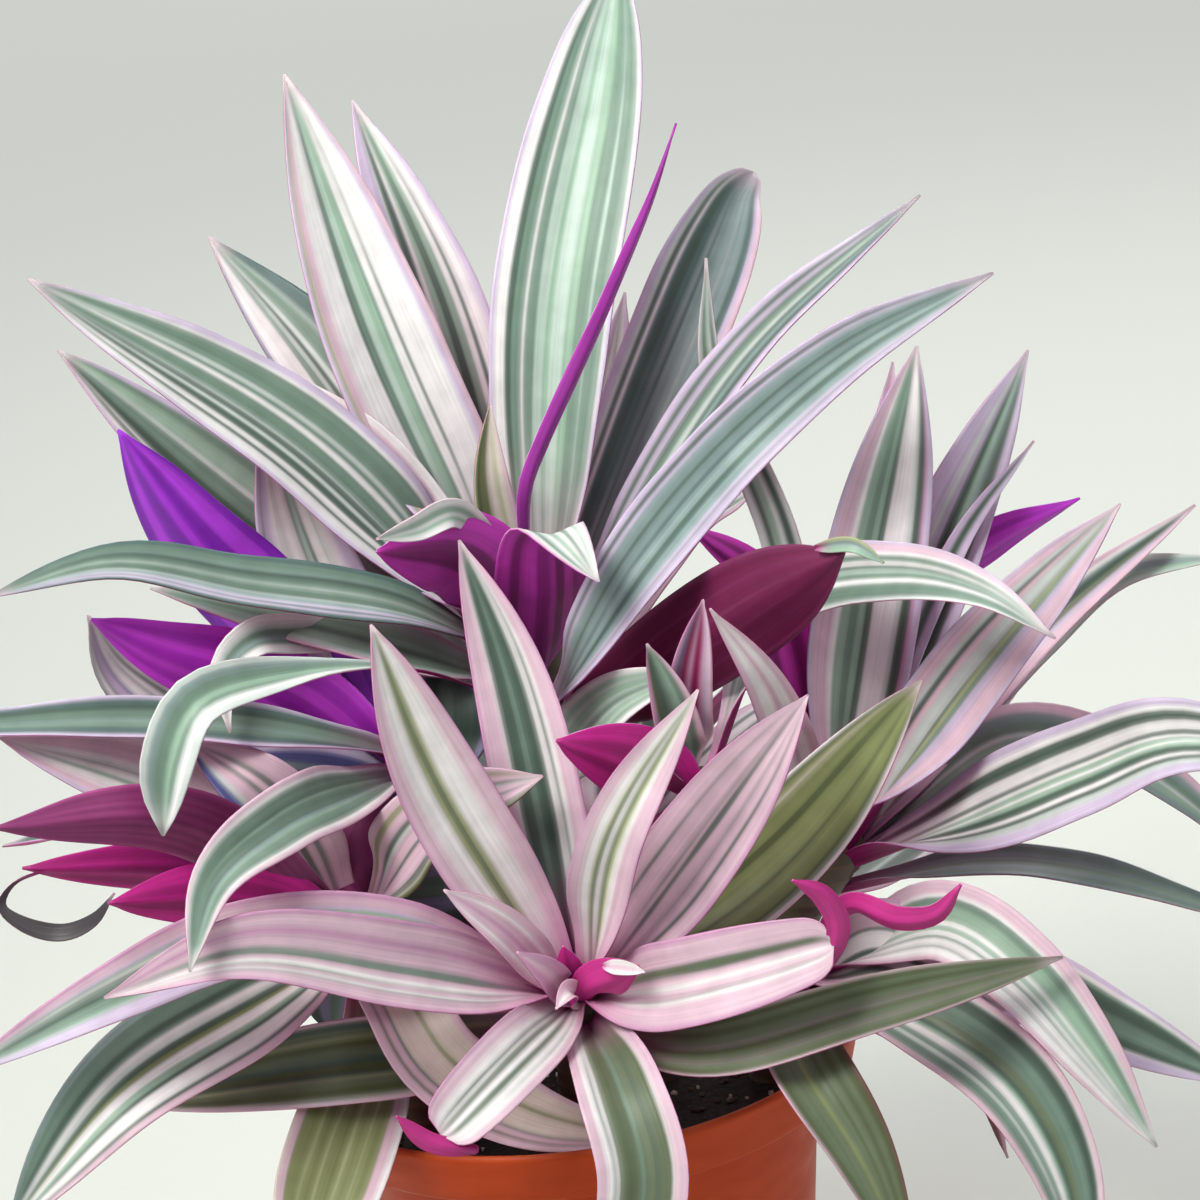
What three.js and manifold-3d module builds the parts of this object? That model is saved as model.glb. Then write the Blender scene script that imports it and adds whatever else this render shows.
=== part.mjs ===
// A potted boat lily (Tradescantia spathacea, three-coloured form): a 14 cm plastic pot filled with
// potting mix, and leafy shoots that each carry a rosette of long, keeled, striped leaves.
//
// Frame: millimetres, +Z up, -Y the side that faces the viewer, origin at the centre of the pot's
// underside, where the pot rests on the ground.
//
// Every leaf was placed on the photograph. A leaf's bend and tip are named points of the photograph
// (picture elements across and down in a 1200 x 1200 picture) with the distance in mm behind the
// pot's axis, and the view below turns each of them into a place in mm. Its width is a real size in mm.
import * as THREE from 'three';
import { mergeVertices } from 'three/addons/utils/BufferGeometryUtils.js';
import Module from 'manifold-3d';

// ---------------------------------------------------------------- driving dimensions, mm
const POT_HEIGHT = 122;
const RIM_RADIUS = 70;
const COLLAR_HEIGHT = 13;
const COLLAR_FOOT_RADIUS = 66;
const BODY_TOP_RADIUS = 57.5;
const BASE_RADIUS = 43;
const WALL = 2.2;
const FLOOR = 3;
const DRAIN_HOLES = 6;
const DRAIN_RADIUS = 4.5;
const DRAIN_CIRCLE = 29;

const SOIL_DEPTH_BELOW_RIM = 13;
const SOIL_HUMP = 3;
const GAP = 0.3;
const STEM_SINK = 14;
const SOCKET_SLACK = 0.5;

const BLADE_THICKNESS = 0.9;
const WIDEST_AT = 0.4;
const ROOT_SHARE = 0.34;
const BASE_FOLD = 50;
const LEAST_HALF_WIDTH = 0.55;
const LEAST_DROP = 5;

const SEED = 20231;

const STEM_SIDES = 10;
const BURIED_SHARE = 0.86;
const CROWN_SHARE = 0.7;
const ROUND_SIDES = 36;
const FEWEST_STEPS = 4;
const MOST_STEPS = 8;

// ---------------------------------------------------------------- the photograph's view
const VIEW = {
  focal: 4090,
  middle: 600,
  pitch: THREE.MathUtils.degToRad(16.5),
  roll: THREE.MathUtils.degToRad(8),
  distance: 1000,
  rimAcross: 577,
  rimDown: 1035,
};

const vec = (x, y, z) => new THREE.Vector3(x, y, z);
const ahead = vec(0, Math.cos(VIEW.pitch), -Math.sin(VIEW.pitch));
const levelUp = vec(0, Math.sin(VIEW.pitch), Math.cos(VIEW.pitch));
const right = vec(1, 0, 0)
  .multiplyScalar(Math.cos(VIEW.roll))
  .addScaledVector(levelUp, -Math.sin(VIEW.roll));
const up = levelUp
  .clone()
  .multiplyScalar(Math.cos(VIEW.roll))
  .addScaledVector(vec(1, 0, 0), Math.sin(VIEW.roll));

function ray(across, down) {
  return ahead
    .clone()
    .addScaledVector(right, (across - VIEW.middle) / VIEW.focal)
    .addScaledVector(up, (VIEW.middle - down) / VIEW.focal);
}

const eye = vec(0, 0, POT_HEIGHT).addScaledVector(ray(VIEW.rimAcross, VIEW.rimDown), -VIEW.distance);

// The place in mm of a point of the photograph that lies `behind` mm behind the pot's axis.
function at(across, down, behind) {
  const line = ray(across, down);
  return eye.clone().addScaledVector(line, (behind - eye.y) / line.y);
}

// ---------------------------------------------------------------- a leaf's shape
const smooth = (x) => {
  const s = Math.min(Math.max(x, 0), 1);
  return s * s * (3 - 2 * s);
};

// Half the blade's width at `t` along it, 0 at the root and 1 at the tip.
function halfWidth(t, { wide, widest, waist, slim, end }) {
  const share =
    t < widest
      ? waist + (1 - waist) * Math.sin(((Math.PI / 2) * t) / widest) ** slim
      : 1 - (1 - end) * ((t - widest) / (1 - widest)) ** 2.6;
  return Math.max((wide / 2) * share, LEAST_HALF_WIDTH);
}

// How far each half is folded up from flat: deep where it clasps the stem, shallow further out.
function foldAt(t, keel) {
  return THREE.MathUtils.degToRad(keel + (BASE_FOLD - keel) * (1 - smooth(t / 0.25)));
}

// The midrib, as evenly spaced points from inside the stem to the tip.
function midrib(shoot, leaf, count) {
  const root = shoot.crown.clone().addScaledVector(shoot.axis, -Math.max(leaf.drop, LEAST_DROP));
  if (leaf.from) {
    root.copy(leaf.from);
  } else {
    const outward = leaf.line[0].clone().sub(root);
    outward.addScaledVector(shoot.axis, -outward.dot(shoot.axis)).normalize();
    root.addScaledVector(outward, shoot.radius * 0.5);
  }
  const curve = new THREE.CatmullRomCurve3([root, ...leaf.line], false, 'centripetal');
  return curve.getSpacedPoints(count);
}

// Places along the midrib, each with its direction, the sideways direction and the upper side's
// direction. The upper side faces the shoot's axis at the root, and the blade turns towards the light.
function ribs(shoot, leaf, count) {
  const line = midrib(shoot, leaf, count);
  const chord = line[count].clone().sub(line[0]);
  const across = shoot.axis.clone().cross(chord).normalize();
  return line.map((place, k) => {
    const along = line[Math.min(k + 1, count)].clone().sub(line[Math.max(k - 1, 0)]).normalize();
    const side = across.clone().addScaledVector(along, -across.dot(along)).normalize();
    const upper = along.clone().cross(side);
    const wanted = eye.clone().sub(place).multiplyScalar(leaf.back ? -1 : 1);
    wanted.addScaledVector(along, -wanted.dot(along)).normalize();
    const angle = Math.atan2(upper.clone().cross(wanted).dot(along), upper.dot(wanted));
    const t = k / count;
    const [from, to] = leaf.twist;
    const roll = angle * leaf.turn * smooth((t - from) / (to - from));
    side.applyAxisAngle(along, roll);
    upper.applyAxisAngle(along, roll);
    return { place, side, upper, t };
  });
}

// How many steps a leaf's midrib needs: few on a straight leaf, more on one that arches over.
function stepsFor(shoot, leaf) {
  const line = midrib(shoot, leaf, MOST_STEPS);
  let bend = 0;
  for (let k = 1; k < MOST_STEPS; k += 1) {
    bend += line[k].clone().sub(line[k - 1]).angleTo(line[k + 1].clone().sub(line[k]));
  }
  return Math.min(Math.max(Math.round(4.4 + bend * 1.3), FEWEST_STEPS), MOST_STEPS);
}

// ---------------------------------------------------------------- solids
const wasm = await Module();
wasm.setup();

function solid(points, faces) {
  const vertProperties = new Float32Array(points.flatMap((p) => [p.x, p.y, p.z]));
  const triVerts = new Uint32Array(faces.flat());
  return new wasm.Manifold(new wasm.Mesh({ numProp: 3, vertProperties, triVerts }));
}

function solidFromGeometry(geometry) {
  const bare = new THREE.BufferGeometry();
  bare.setAttribute('position', geometry.getAttribute('position'));
  bare.setIndex(geometry.getIndex());
  const merged = mergeVertices(bare, 1e-3);
  return new wasm.Manifold(
    new wasm.Mesh({
      numProp: 3,
      vertProperties: merged.getAttribute('position').array,
      triVerts: new Uint32Array(merged.getIndex().array),
    }),
  );
}

function geometryOf(made) {
  const mesh = made.getMesh();
  const geometry = new THREE.BufferGeometry();
  geometry.setAttribute('position', new THREE.BufferAttribute(mesh.vertProperties, 3));
  geometry.setIndex(new THREE.BufferAttribute(mesh.triVerts, 1));
  geometry.computeVertexNormals();
  return geometry;
}

// A closed skin around rings of points. Each ring runs the same way round, and its first point sees all
// of its others, so that the ends close with a fan of faces from that point. A side named in `turned` is
// split along its other diagonal.
function loft(rings, turned = []) {
  const round = rings[0].length;
  const faces = [];
  for (let k = 0; k + 1 < rings.length; k += 1) {
    for (let i = 0; i < round; i += 1) {
      const j = (i + 1) % round;
      const a = k * round + i;
      const b = k * round + j;
      if (turned.includes(i)) {
        faces.push([a, b, a + round], [b, b + round, a + round]);
      } else {
        faces.push([a, b, b + round], [a, b + round, a + round]);
      }
    }
  }
  const last = (rings.length - 1) * round;
  for (let i = 1; i + 1 < round; i += 1) {
    faces.push([0, i + 1, i], [last, last + i, last + i + 1]);
  }
  return solid(rings.flat(), faces);
}

// A leaf: a keeled blade of even thickness, with a margin, a midrib and a margin at every step. The
// upper and under skins are split along the same diagonals, so they stay apart where the blade twists.
const TURNED_SIDES = [2, 5];
function bladeSolid(shoot, leaf) {
  const rings = ribs(shoot, leaf, stepsFor(shoot, leaf)).map(({ place, side, upper, t }) => {
    const half = halfWidth(t, leaf);
    const fold = foldAt(t, leaf.keel);
    const edge = (sign) =>
      place
        .clone()
        .addScaledVector(side, sign * half * Math.cos(fold))
        .addScaledVector(upper, half * Math.sin(fold));
    const under = (sign) =>
      edge(sign)
        .addScaledVector(upper, -BLADE_THICKNESS * Math.cos(fold))
        .addScaledVector(side, sign * BLADE_THICKNESS * Math.sin(fold));
    const keel = place.clone().addScaledVector(upper, -BLADE_THICKNESS / Math.cos(fold));
    return [place, edge(-1), under(-1), keel, under(1), edge(1)];
  });
  return loft(rings, TURNED_SIDES);
}

// A shoot's stem: round, upright where it stands in the mix, then leaning out to the crown.
function stemSolid(shoot) {
  const low = vec(shoot.foot.x, shoot.foot.y, shoot.soilTop - STEM_SINK);
  const ground = vec(shoot.foot.x, shoot.foot.y, shoot.soilTop + 1);
  const stations = [low, ground];
  const curve = new THREE.CatmullRomCurve3(
    [low, ground, shoot.crown.clone().addScaledVector(shoot.axis, -6), shoot.crown],
    false,
    'centripetal',
  );
  const from = 1 / 3;
  for (let k = 1; k <= 5; k += 1) {
    stations.push(curve.getPoint(from + (k / 5) * (1 - from)));
  }
  const rings = stations.map((place, k) => {
    const before = stations[Math.max(k - 1, 0)];
    const after = stations[Math.min(k + 1, stations.length - 1)];
    const along = k < 2 ? vec(0, 0, 1) : after.clone().sub(before).normalize();
    const east = vec(0, 1, 0).cross(along).normalize();
    const north = along.clone().cross(east);
    const share = k < 2 ? BURIED_SHARE : k === stations.length - 1 ? CROWN_SHARE : 1;
    const radius = shoot.radius * share;
    const ring = [];
    for (let i = 0; i < STEM_SIDES; i += 1) {
      const angle = (2 * Math.PI * i) / STEM_SIDES;
      ring.push(
        place
          .clone()
          .addScaledVector(east, radius * Math.cos(angle))
          .addScaledVector(north, radius * Math.sin(angle)),
      );
    }
    return ring;
  });
  return loft(rings);
}

// ---------------------------------------------------------------- the shoots and their leaves
// `wide` is its width in mm and `turn` how far it turns towards the light, 0 to 1. `drop` is how far
// below the crown it starts, `keel` how many degrees each half is folded up, `back` marks a leaf that
// shows its underside, `twist` where along it the turn begins and ends, and `from` another start.
// `widest` is where along it the blade is widest, `waist` its share of that width at the root, `slim`
// how slowly it swells from there, 1 or more, and `end` its share where its last part is folded over.
function leaf(name, { bend = [], tip, ...given }) {
  const habit = { drop: 0, keel: 16, back: false, twist: [0, 0.45] };
  const outline = { widest: WIDEST_AT, waist: ROOT_SHARE, slim: 1, end: 0 };
  return { name, ...habit, ...outline, ...given, line: [...bend, tip] };
}

// Leaves on the far side, which the photograph doesn't show. They follow the plant's own habit:
// each stands a golden angle on from the one before, within the far half of the rosette.
const GOLDEN_ANGLE = 137.508;
let draw = SEED;
function random() {
  draw = (draw * 16807) % 2147483647;
  return draw / 2147483647;
}

function farLeaves(name, { crown, count, middle, spread, rise, length, drop, wide }) {
  const made = [];
  for (let k = 0; k < count; k += 1) {
    const share = ((k * GOLDEN_ANGLE) / 360) % 1;
    const heading = THREE.MathUtils.degToRad(middle + (share - 0.5) * spread);
    const climb = THREE.MathUtils.degToRad(rise - (45 * k) / count + 8 * (random() - 0.5));
    const reach = length * (0.85 + 0.25 * random());
    const out = vec(Math.cos(heading), Math.sin(heading), 0);
    const low = drop + (24 * k) / count;
    const root = crown.clone().add(vec(0, 0, -low));
    const place = (run, sag) =>
      root
        .clone()
        .addScaledVector(out, run * reach * Math.cos(climb))
        .add(vec(0, 0, run * reach * Math.sin(climb) - sag * reach));
    made.push(
      leaf(`${name}_${k + 1}`, {
        wide: wide * (0.9 + 0.2 * random()),
        turn: 0,
        bend: [place(0.55, 0.02)],
        tip: place(1, 0.16 + 0.12 * random()),
        drop: low,
      }),
    );
  }
  return made;
}

function shoot(name, { crown, foot, radius, leaves, far = [] }) {
  const soilTop = soilHeight(Math.hypot(foot.x, foot.y));
  const axis = crown.clone().sub(vec(foot.x, foot.y, soilTop)).normalize();
  return { name, crown, foot, radius, soilTop, axis, leaves: [...leaves, ...far] };
}

// The mix stands a little higher in the middle of the pot than at the wall.
function soilHeight(radius) {
  return POT_HEIGHT - SOIL_DEPTH_BELOW_RIM + SOIL_HUMP * Math.cos((Math.PI / 2) * (radius / RIM_RADIUS));
}

const rearCrown = at(535, 625, 20);
const frontCrown = at(578, 980, -48);
const rightCrown = at(850, 835, 5);
const middleCrown = at(705, 775, -34);
const leftCrown = at(430, 755, 0);
const lowLeftCrown = at(350, 905, -22);
const lowRightCrown = at(800, 970, -28);
const backCrown = vec(12, 50, 156);

const SHOOTS = [
  shoot('shoot_rear', {
    crown: rearCrown,
    foot: { x: -6, y: 14 },
    radius: 6.5,
    leaves: [
      leaf('tall_middle', {
        wide: 31,
        turn: 0.6,
        bend: [at(553, 320, 34), at(594, 90, 56)],
        tip: at(619, -45, 86),
        drop: 2,
        widest: 0.5,
      }),
      leaf('tall_left', {
        wide: 30,
        turn: 0.8,
        bend: [at(380, 345, 28)],
        tip: at(284, 74, 38),
        drop: 6,
      }),
      leaf('tall_left_behind', {
        wide: 26,
        turn: 0.7,
        bend: [at(440, 320, 50)],
        tip: at(352, 100, 72),
        drop: 10,
      }),
      leaf('left_behind', {
        wide: 28,
        turn: 0.7,
        bend: [at(340, 392, 52)],
        tip: at(209, 237, 70),
        drop: 20,
      }),
      leaf('long_left', {
        wide: 26,
        turn: 0.8,
        bend: [at(310, 450, 6)],
        tip: at(28, 279, -8),
        drop: 14,
      }),
      leaf('long_left_low', {
        wide: 26,
        turn: 0.7,
        bend: [at(238, 503, 30)],
        tip: at(58, 350, 26),
        drop: 24,
      }),
      leaf('thin_left', {
        wide: 13,
        turn: 0.9,
        bend: [at(390, 465, 18)],
        tip: at(283, 369, 24),
        drop: 12,
      }),
      leaf('young_middle', {
        wide: 12,
        turn: 0.8,
        bend: [at(489, 480, 6)],
        tip: at(490, 404, 10),
      }),
      leaf('sword', {
        wide: 4.4,
        turn: 0.6,
        bend: [
          at(526, 490, -3),
          at(540, 447, 0),
          at(577, 367, 6),
          at(610, 293, 9),
          at(650, 200, 12),
        ],
        tip: at(676, 123, 14),
        drop: 2,
        widest: 0.45,
        back: true,
      }),
      leaf('behind_right', {
        wide: 15,
        turn: 0.7,
        bend: [at(600, 440, 62)],
        tip: at(625, 292, 75),
        drop: 10,
      }),
      leaf('broad_right', {
        wide: 25,
        turn: 0.8,
        bend: [at(636, 438, 46), at(693, 300, 62), at(720, 233, 76), at(736, 195, 86)],
        tip: at(754, 172, 92),
        drop: 8,
        widest: 0.62,
        end: 0.5,
      }),
      leaf('long_right_high', {
        wide: 14,
        turn: 0.6,
        bend: [at(742, 355, 26)],
        tip: at(920, 195, 22),
        drop: 8,
      }),
      leaf('long_right', {
        wide: 19,
        turn: 0.85,
        bend: [at(590, 640, -22), at(640, 560, -18), at(735, 447, 0), at(850, 350, -4)],
        tip: at(993, 273, -12),
        drop: 26,
        widest: 0.5,
        slim: 1.4,
      }),
      leaf('curl_left', {
        wide: 25,
        turn: 0.85,
        bend: [at(470, 562, -8)],
        tip: at(376, 551, -30),
        drop: 10,
        back: true,
      }),
      leaf('curl_right', {
        wide: 24,
        turn: 0,
        bend: [at(545, 600, -10), at(551, 534, -30)],
        tip: at(599, 582, -45),
        drop: 14,
      }),
      leaf('magenta_right', {
        wide: 26,
        turn: 0.9,
        bend: [at(622, 700, -4), at(735, 618, -20)],
        tip: at(845, 552, -38),
        drop: 40,
        widest: 0.62,
        back: true,
      }),
      leaf('striped_low', {
        wide: 17,
        turn: 0.8,
        bend: [at(618, 700, -24)],
        tip: at(688, 672, -34),
        drop: 40,
      }),
      leaf('level_left', {
        wide: 15,
        turn: 0.6,
        bend: [at(400, 608, -6), at(250, 585, -16), at(110, 564, -24)],
        tip: at(-16, 598, -32),
        drop: 10,
      }),
      leaf('level_left_low', {
        wide: 15,
        turn: 0.6,
        bend: [at(400, 648, -2), at(290, 620, -3)],
        tip: at(150, 588, -6),
        drop: 16,
      }),
      leaf('arch_left', {
        wide: 13,
        turn: 0.9,
        bend: [at(400, 667, -28), at(290, 673, -42), at(195, 702, -52), at(168, 762, -56)],
        tip: at(163, 836, -58),
        drop: 20,
        widest: 0.84,
        waist: 0.1,
        slim: 6,
        twist: [0.35, 0.75],
      }),
      leaf('curl_left_lip', {
        wide: 7,
        turn: 1,
        from: at(492, 536, -2),
        bend: [at(455, 513, -13), at(415, 529, -26)],
        tip: at(377, 539, -38),
        waist: 0.6,
        twist: [-1, 0],
      }),
      leaf('small_arch', {
        wide: 10,
        turn: 0.9,
        bend: [at(400, 641, 4), at(300, 634, -5), at(250, 641, -19), at(223, 674, -29)],
        tip: at(230, 733, -36),
        drop: 22,
        widest: 0.62,
        waist: 0.16,
        slim: 3,
        twist: [0, 0.3],
      }),
    ],
    far: farLeaves('rear_far', {
      crown: rearCrown,
      count: 6,
      middle: 95,
      spread: 110,
      rise: 50,
      length: 125,
      drop: 14,
      wide: 25,
    }),
  }),
  shoot('shoot_front', {
    crown: frontCrown,
    foot: { x: 0, y: -26 },
    radius: 6,
    leaves: [
      leaf('left_up', {
        wide: 22,
        turn: 0.85,
        bend: [at(440, 785, -52)],
        tip: at(371, 625, -62),
      }),
      leaf('middle_up', {
        wide: 21,
        turn: 0.85,
        bend: [at(513, 690, -26)],
        tip: at(459, 540, -18),
      }),
      leaf('right_up', {
        wide: 15.5,
        turn: 0.8,
        bend: [at(612, 843, -64)],
        tip: at(698, 690, -75),
      }),
      leaf('right_up_second', {
        wide: 23,
        turn: 0.8,
        bend: [at(700, 845, -55)],
        tip: at(808, 695, -60),
      }),
      leaf('olive_right', {
        wide: 24,
        turn: 0.85,
        bend: [at(780, 850, -38)],
        tip: at(922, 680, -45),
        drop: 8,
      }),
      leaf('left_long', {
        wide: 20,
        turn: 0.9,
        bend: [at(400, 965, -75), at(240, 948, -90)],
        tip: at(104, 998, -96),
        drop: 4,
        widest: 0.34,
      }),
      leaf('left_behind', {
        wide: 18,
        turn: 0.8,
        bend: [at(400, 936, -58), at(240, 940, -70), at(120, 990, -84)],
        tip: at(-45, 1078, -96),
        drop: 8,
      }),
      leaf('small_left', {
        wide: 11,
        turn: 0.8,
        bend: [at(505, 930, -60)],
        tip: at(444, 890, -66),
        drop: 0,
      }),
      leaf('right_low', {
        wide: 21,
        turn: 0.9,
        bend: [at(700, 980, -74)],
        tip: at(834, 944, -86),
        drop: 4,
        end: 0.62,
      }),
      leaf('right_low_tip', {
        wide: 5.5,
        turn: 1,
        from: at(821, 978, -84),
        bend: [at(838, 928, -86), at(822, 895, -88)],
        tip: at(792, 880, -90),
        widest: 0.5,
        waist: 0.4,
        back: true,
        twist: [-1, 0],
      }),
      leaf('down_left', {
        wide: 17,
        turn: 0.85,
        bend: [at(512, 1060, -80)],
        tip: at(441, 1135, -92),
        drop: 4,
        widest: 0.6,
        waist: 0.5,
        end: 0.72,
      }),
      leaf('down_left_tip', {
        wide: 4.5,
        turn: 1,
        from: at(478, 1150, -92),
        bend: [at(430, 1142, -94)],
        tip: at(396, 1116, -96),
        waist: 0.6,
        back: true,
        twist: [-1, 0],
      }),
      leaf('down', {
        wide: 21,
        turn: 0.85,
        bend: [at(620, 1090, -84), at(643, 1180, -96)],
        tip: at(612, 1310, -94),
        drop: 10,
        widest: 0.6,
        waist: 0.5,
      }),
      leaf('dark_right', {
        wide: 15,
        turn: 0.7,
        bend: [at(700, 1050, -70), at(880, 1003, -78)],
        tip: at(1063, 957, -70),
        drop: 14,
      }),
      leaf('heart', {
        wide: 11,
        turn: 0.8,
        bend: [at(596, 985, -60), at(616, 976, -65)],
        tip: at(640, 966, -68),
        widest: 0.5,
        back: true,
      }),
      leaf('dark_left', {
        wide: 20.5,
        turn: 0.8,
        bend: [at(425, 1054, -46), at(340, 1064, -53), at(260, 1076, -55)],
        tip: at(118, 1105, -61),
        drop: 16,
      }),
    ],
  }),
  shoot('shoot_right', {
    crown: rightCrown,
    foot: { x: 36, y: 14 },
    radius: 6,
    leaves: [
      leaf('tall', {
        wide: 27,
        turn: 0.8,
        bend: [at(866, 600, 12)],
        tip: at(917, 346, 28),
        drop: 4,
      }),
      leaf('tall_behind', {
        wide: 14,
        turn: 0.8,
        bend: [at(872, 545, 24)],
        tip: at(893, 362, 38),
        drop: 8,
      }),
      leaf('second', {
        wide: 22,
        turn: 0.8,
        bend: [at(935, 560, 22)],
        tip: at(1028, 350, 35),
        drop: 10,
      }),
      leaf('thin', {
        wide: 7,
        turn: 0.5,
        bend: [at(960, 540, 18)],
        tip: at(1034, 441, 22),
        drop: 4,
      }),
      leaf('magenta', {
        wide: 17,
        turn: 0.8,
        bend: [at(925, 595, 32), at(995, 540, 30)],
        tip: at(1080, 498, 28),
        drop: 6,
        back: true,
      }),
      leaf('big', {
        wide: 21.5,
        turn: 0.85,
        bend: [at(968, 677, -12)],
        tip: at(1120, 504, -22),
        drop: 6,
      }),
      leaf('edge_high', {
        wide: 12,
        turn: 0.7,
        bend: [at(1048, 622, 18)],
        tip: at(1195, 505, 25),
        drop: 10,
      }),
      leaf('edge_level', {
        wide: 12,
        turn: 0.5,
        bend: [at(1040, 640, 30), at(1120, 575, 28)],
        tip: at(1230, 556, 22),
        drop: 14,
      }),
      leaf('level', {
        wide: 24,
        turn: 0.85,
        bend: [at(960, 822, -12), at(1082, 770, -30), at(1180, 738, -44)],
        tip: at(1330, 765, -55),
        drop: 8,
      }),
      leaf('level_behind', {
        wide: 14,
        turn: 0.7,
        bend: [at(1000, 735, 8), at(1100, 745, 5), at(1190, 800, 0)],
        tip: at(1260, 870, -5),
        drop: 16,
      }),
      leaf('dark_level', {
        wide: 10,
        turn: 0.5,
        bend: [at(980, 862, 0), at(1080, 870, -8)],
        tip: at(1270, 925, -18),
        drop: 16,
      }),
      leaf('pale_tip', {
        wide: 12.5,
        turn: 1,
        bend: [at(768, 688, -40)],
        tip: at(710, 609, -50),
        drop: 8,
      }),
      leaf('steep_left', {
        wide: 10,
        turn: 1,
        bend: [at(780, 540, 38), at(712, 370, 40)],
        tip: at(706, 258, 42),
        drop: 6,
      }),
      leaf('violet_left', {
        wide: 15,
        turn: 0.9,
        bend: [at(765, 590, 24)],
        tip: at(688, 524, 20),
        drop: 10,
        back: true,
      }),
    ],
    far: farLeaves('right_far', {
      crown: rightCrown,
      count: 2,
      middle: 78,
      spread: 60,
      rise: 30,
      length: 110,
      drop: 12,
      wide: 22,
    }),
  }),
  shoot('shoot_middle', {
    crown: middleCrown,
    foot: { x: 20, y: -6 },
    radius: 5,
    leaves: [
      leaf('red', {
        wide: 11,
        turn: 1,
        bend: [at(690, 690, -44)],
        tip: at(703, 600, -52),
      }),
      leaf('dark', {
        wide: 11,
        turn: 1,
        bend: [at(672, 705, -48)],
        tip: at(647, 644, -52),
      }),
      leaf('magenta', {
        wide: 20,
        turn: 0.8,
        bend: [at(625, 762, -50)],
        tip: at(556, 740, -54),
        drop: 6,
        back: true,
      }),
      leaf('arch_right', {
        wide: 17,
        turn: 0.6,
        bend: [at(785, 602, 6), at(895, 574, -20), at(988, 594, -42)],
        tip: at(1055, 638, -56),
        drop: 2,
        waist: 0.2,
        slim: 2,
      }),
    ],
  }),
  shoot('shoot_left', {
    crown: leftCrown,
    foot: { x: -22, y: 2 },
    radius: 6,
    leaves: [
      leaf('violet', {
        wide: 27,
        turn: 0.8,
        bend: [at(290, 640, 11), at(190, 535, 5)],
        tip: at(118, 429, -2),
        drop: 6,
        back: true,
      }),
      leaf('pale_up', {
        wide: 25,
        turn: 0.8,
        bend: [at(312, 575, 14)],
        tip: at(262, 410, 16),
        drop: 10,
      }),
      leaf('arch', {
        wide: 17,
        turn: 0.8,
        bend: [at(398, 780, -12), at(340, 796, -34), at(280, 824, -58), at(212, 886, -86)],
        tip: at(190, 971, -104),
      }),
      leaf('level', {
        wide: 12,
        turn: 0.6,
        bend: [at(370, 748, -15), at(160, 720, -30)],
        tip: at(-110, 730, -42),
        drop: 4,
      }),
      leaf('magenta_level', {
        wide: 22,
        turn: 0.9,
        bend: [at(270, 688, -8), at(160, 650, -14)],
        tip: at(91, 619, -18),
        drop: 6,
        back: true,
      }),
      leaf('curl', {
        wide: 20,
        turn: 0.9,
        bend: [at(262, 765, -6), at(122, 676, -8)],
        tip: at(88, 616, -14),
        drop: 12,
      }),
      leaf('blue', {
        wide: 18,
        turn: 0.7,
        bend: [at(350, 770, -6)],
        tip: at(230, 755, -8),
        drop: 12,
      }),
      leaf('dark_up', {
        wide: 28,
        turn: 0.8,
        bend: [at(440, 718, 3)],
        tip: at(446, 672, 7),
        drop: 8,
        widest: 0.6,
      }),
    ],
    far: farLeaves('left_far', {
      crown: leftCrown,
      count: 3,
      middle: 145,
      spread: 60,
      rise: 40,
      length: 110,
      drop: 10,
      wide: 22,
    }),
  }),
  shoot('shoot_low_left', {
    crown: lowLeftCrown,
    foot: { x: -36, y: -18 },
    radius: 6,
    leaves: [
      leaf('magenta', {
        wide: 17,
        turn: 0.9,
        bend: [at(235, 896, -45)],
        tip: at(108, 903, -60),
        drop: 2,
        back: true,
      }),
      leaf('up_right', {
        wide: 20,
        turn: 0.7,
        bend: [at(430, 822, -39)],
        tip: at(543, 776, -43.5),
      }),
      leaf('burgundy', {
        wide: 17,
        turn: 0.9,
        bend: [at(180, 822, -50)],
        tip: at(-8, 828, -70),
        drop: 4,
        back: true,
      }),
      leaf('burgundy_low', {
        wide: 14,
        turn: 0.8,
        bend: [at(200, 874, -38)],
        tip: at(22, 868, -50),
        drop: 8,
        back: true,
      }),
      leaf('dry_end', {
        wide: 4.5,
        turn: 0.5,
        from: at(50, 869, -48.5),
        bend: [
          at(14, 884, -52),
          at(2, 906, -54),
          at(24, 924, -56),
          at(62, 932, -57),
          at(94, 919, -58),
        ],
        tip: at(114, 893, -58),
        keel: 0,
        widest: 0.62,
        waist: 0.14,
        slim: 3,
        twist: [-1, 0],
      }),
      leaf('pale_left', {
        wide: 24,
        turn: 0.8,
        bend: [at(180, 795, -25)],
        tip: at(0, 738, -35),
        drop: 8,
      }),
      leaf('pale_inner', {
        wide: 20,
        turn: 0.8,
        bend: [at(270, 800, -32)],
        tip: at(190, 742, -21),
        drop: 4,
      }),
      leaf('down_left', {
        wide: 25,
        turn: 0.85,
        bend: [at(262, 1000, -54), at(118, 1092, -80)],
        tip: at(5, 1232, -90),
        drop: 10,
      }),
      leaf('in_pot', {
        wide: 20,
        turn: 0.8,
        bend: [at(400, 1000, -52), at(440, 1062, -62), at(530, 1117, -58)],
        tip: at(645, 1140, -54),
        drop: 12,
      }),
      leaf('hanging', {
        wide: 26,
        turn: 0.85,
        bend: [at(374, 1040, -30), at(366, 1082, -39), at(349, 1128, -58)],
        tip: at(296, 1290, -92),
        drop: 16,
        widest: 0.62,
      }),
      leaf('burgundy_up', {
        wide: 24,
        turn: 0.9,
        bend: [at(362, 848, -20)],
        tip: at(388, 790, -13),
        drop: 4,
        back: true,
      }),
      leaf('dark_right', {
        wide: 24,
        turn: 0.9,
        bend: [at(405, 893, -16)],
        tip: at(478, 885, -14),
        drop: 6,
        widest: 0.6,
      }),
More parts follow.
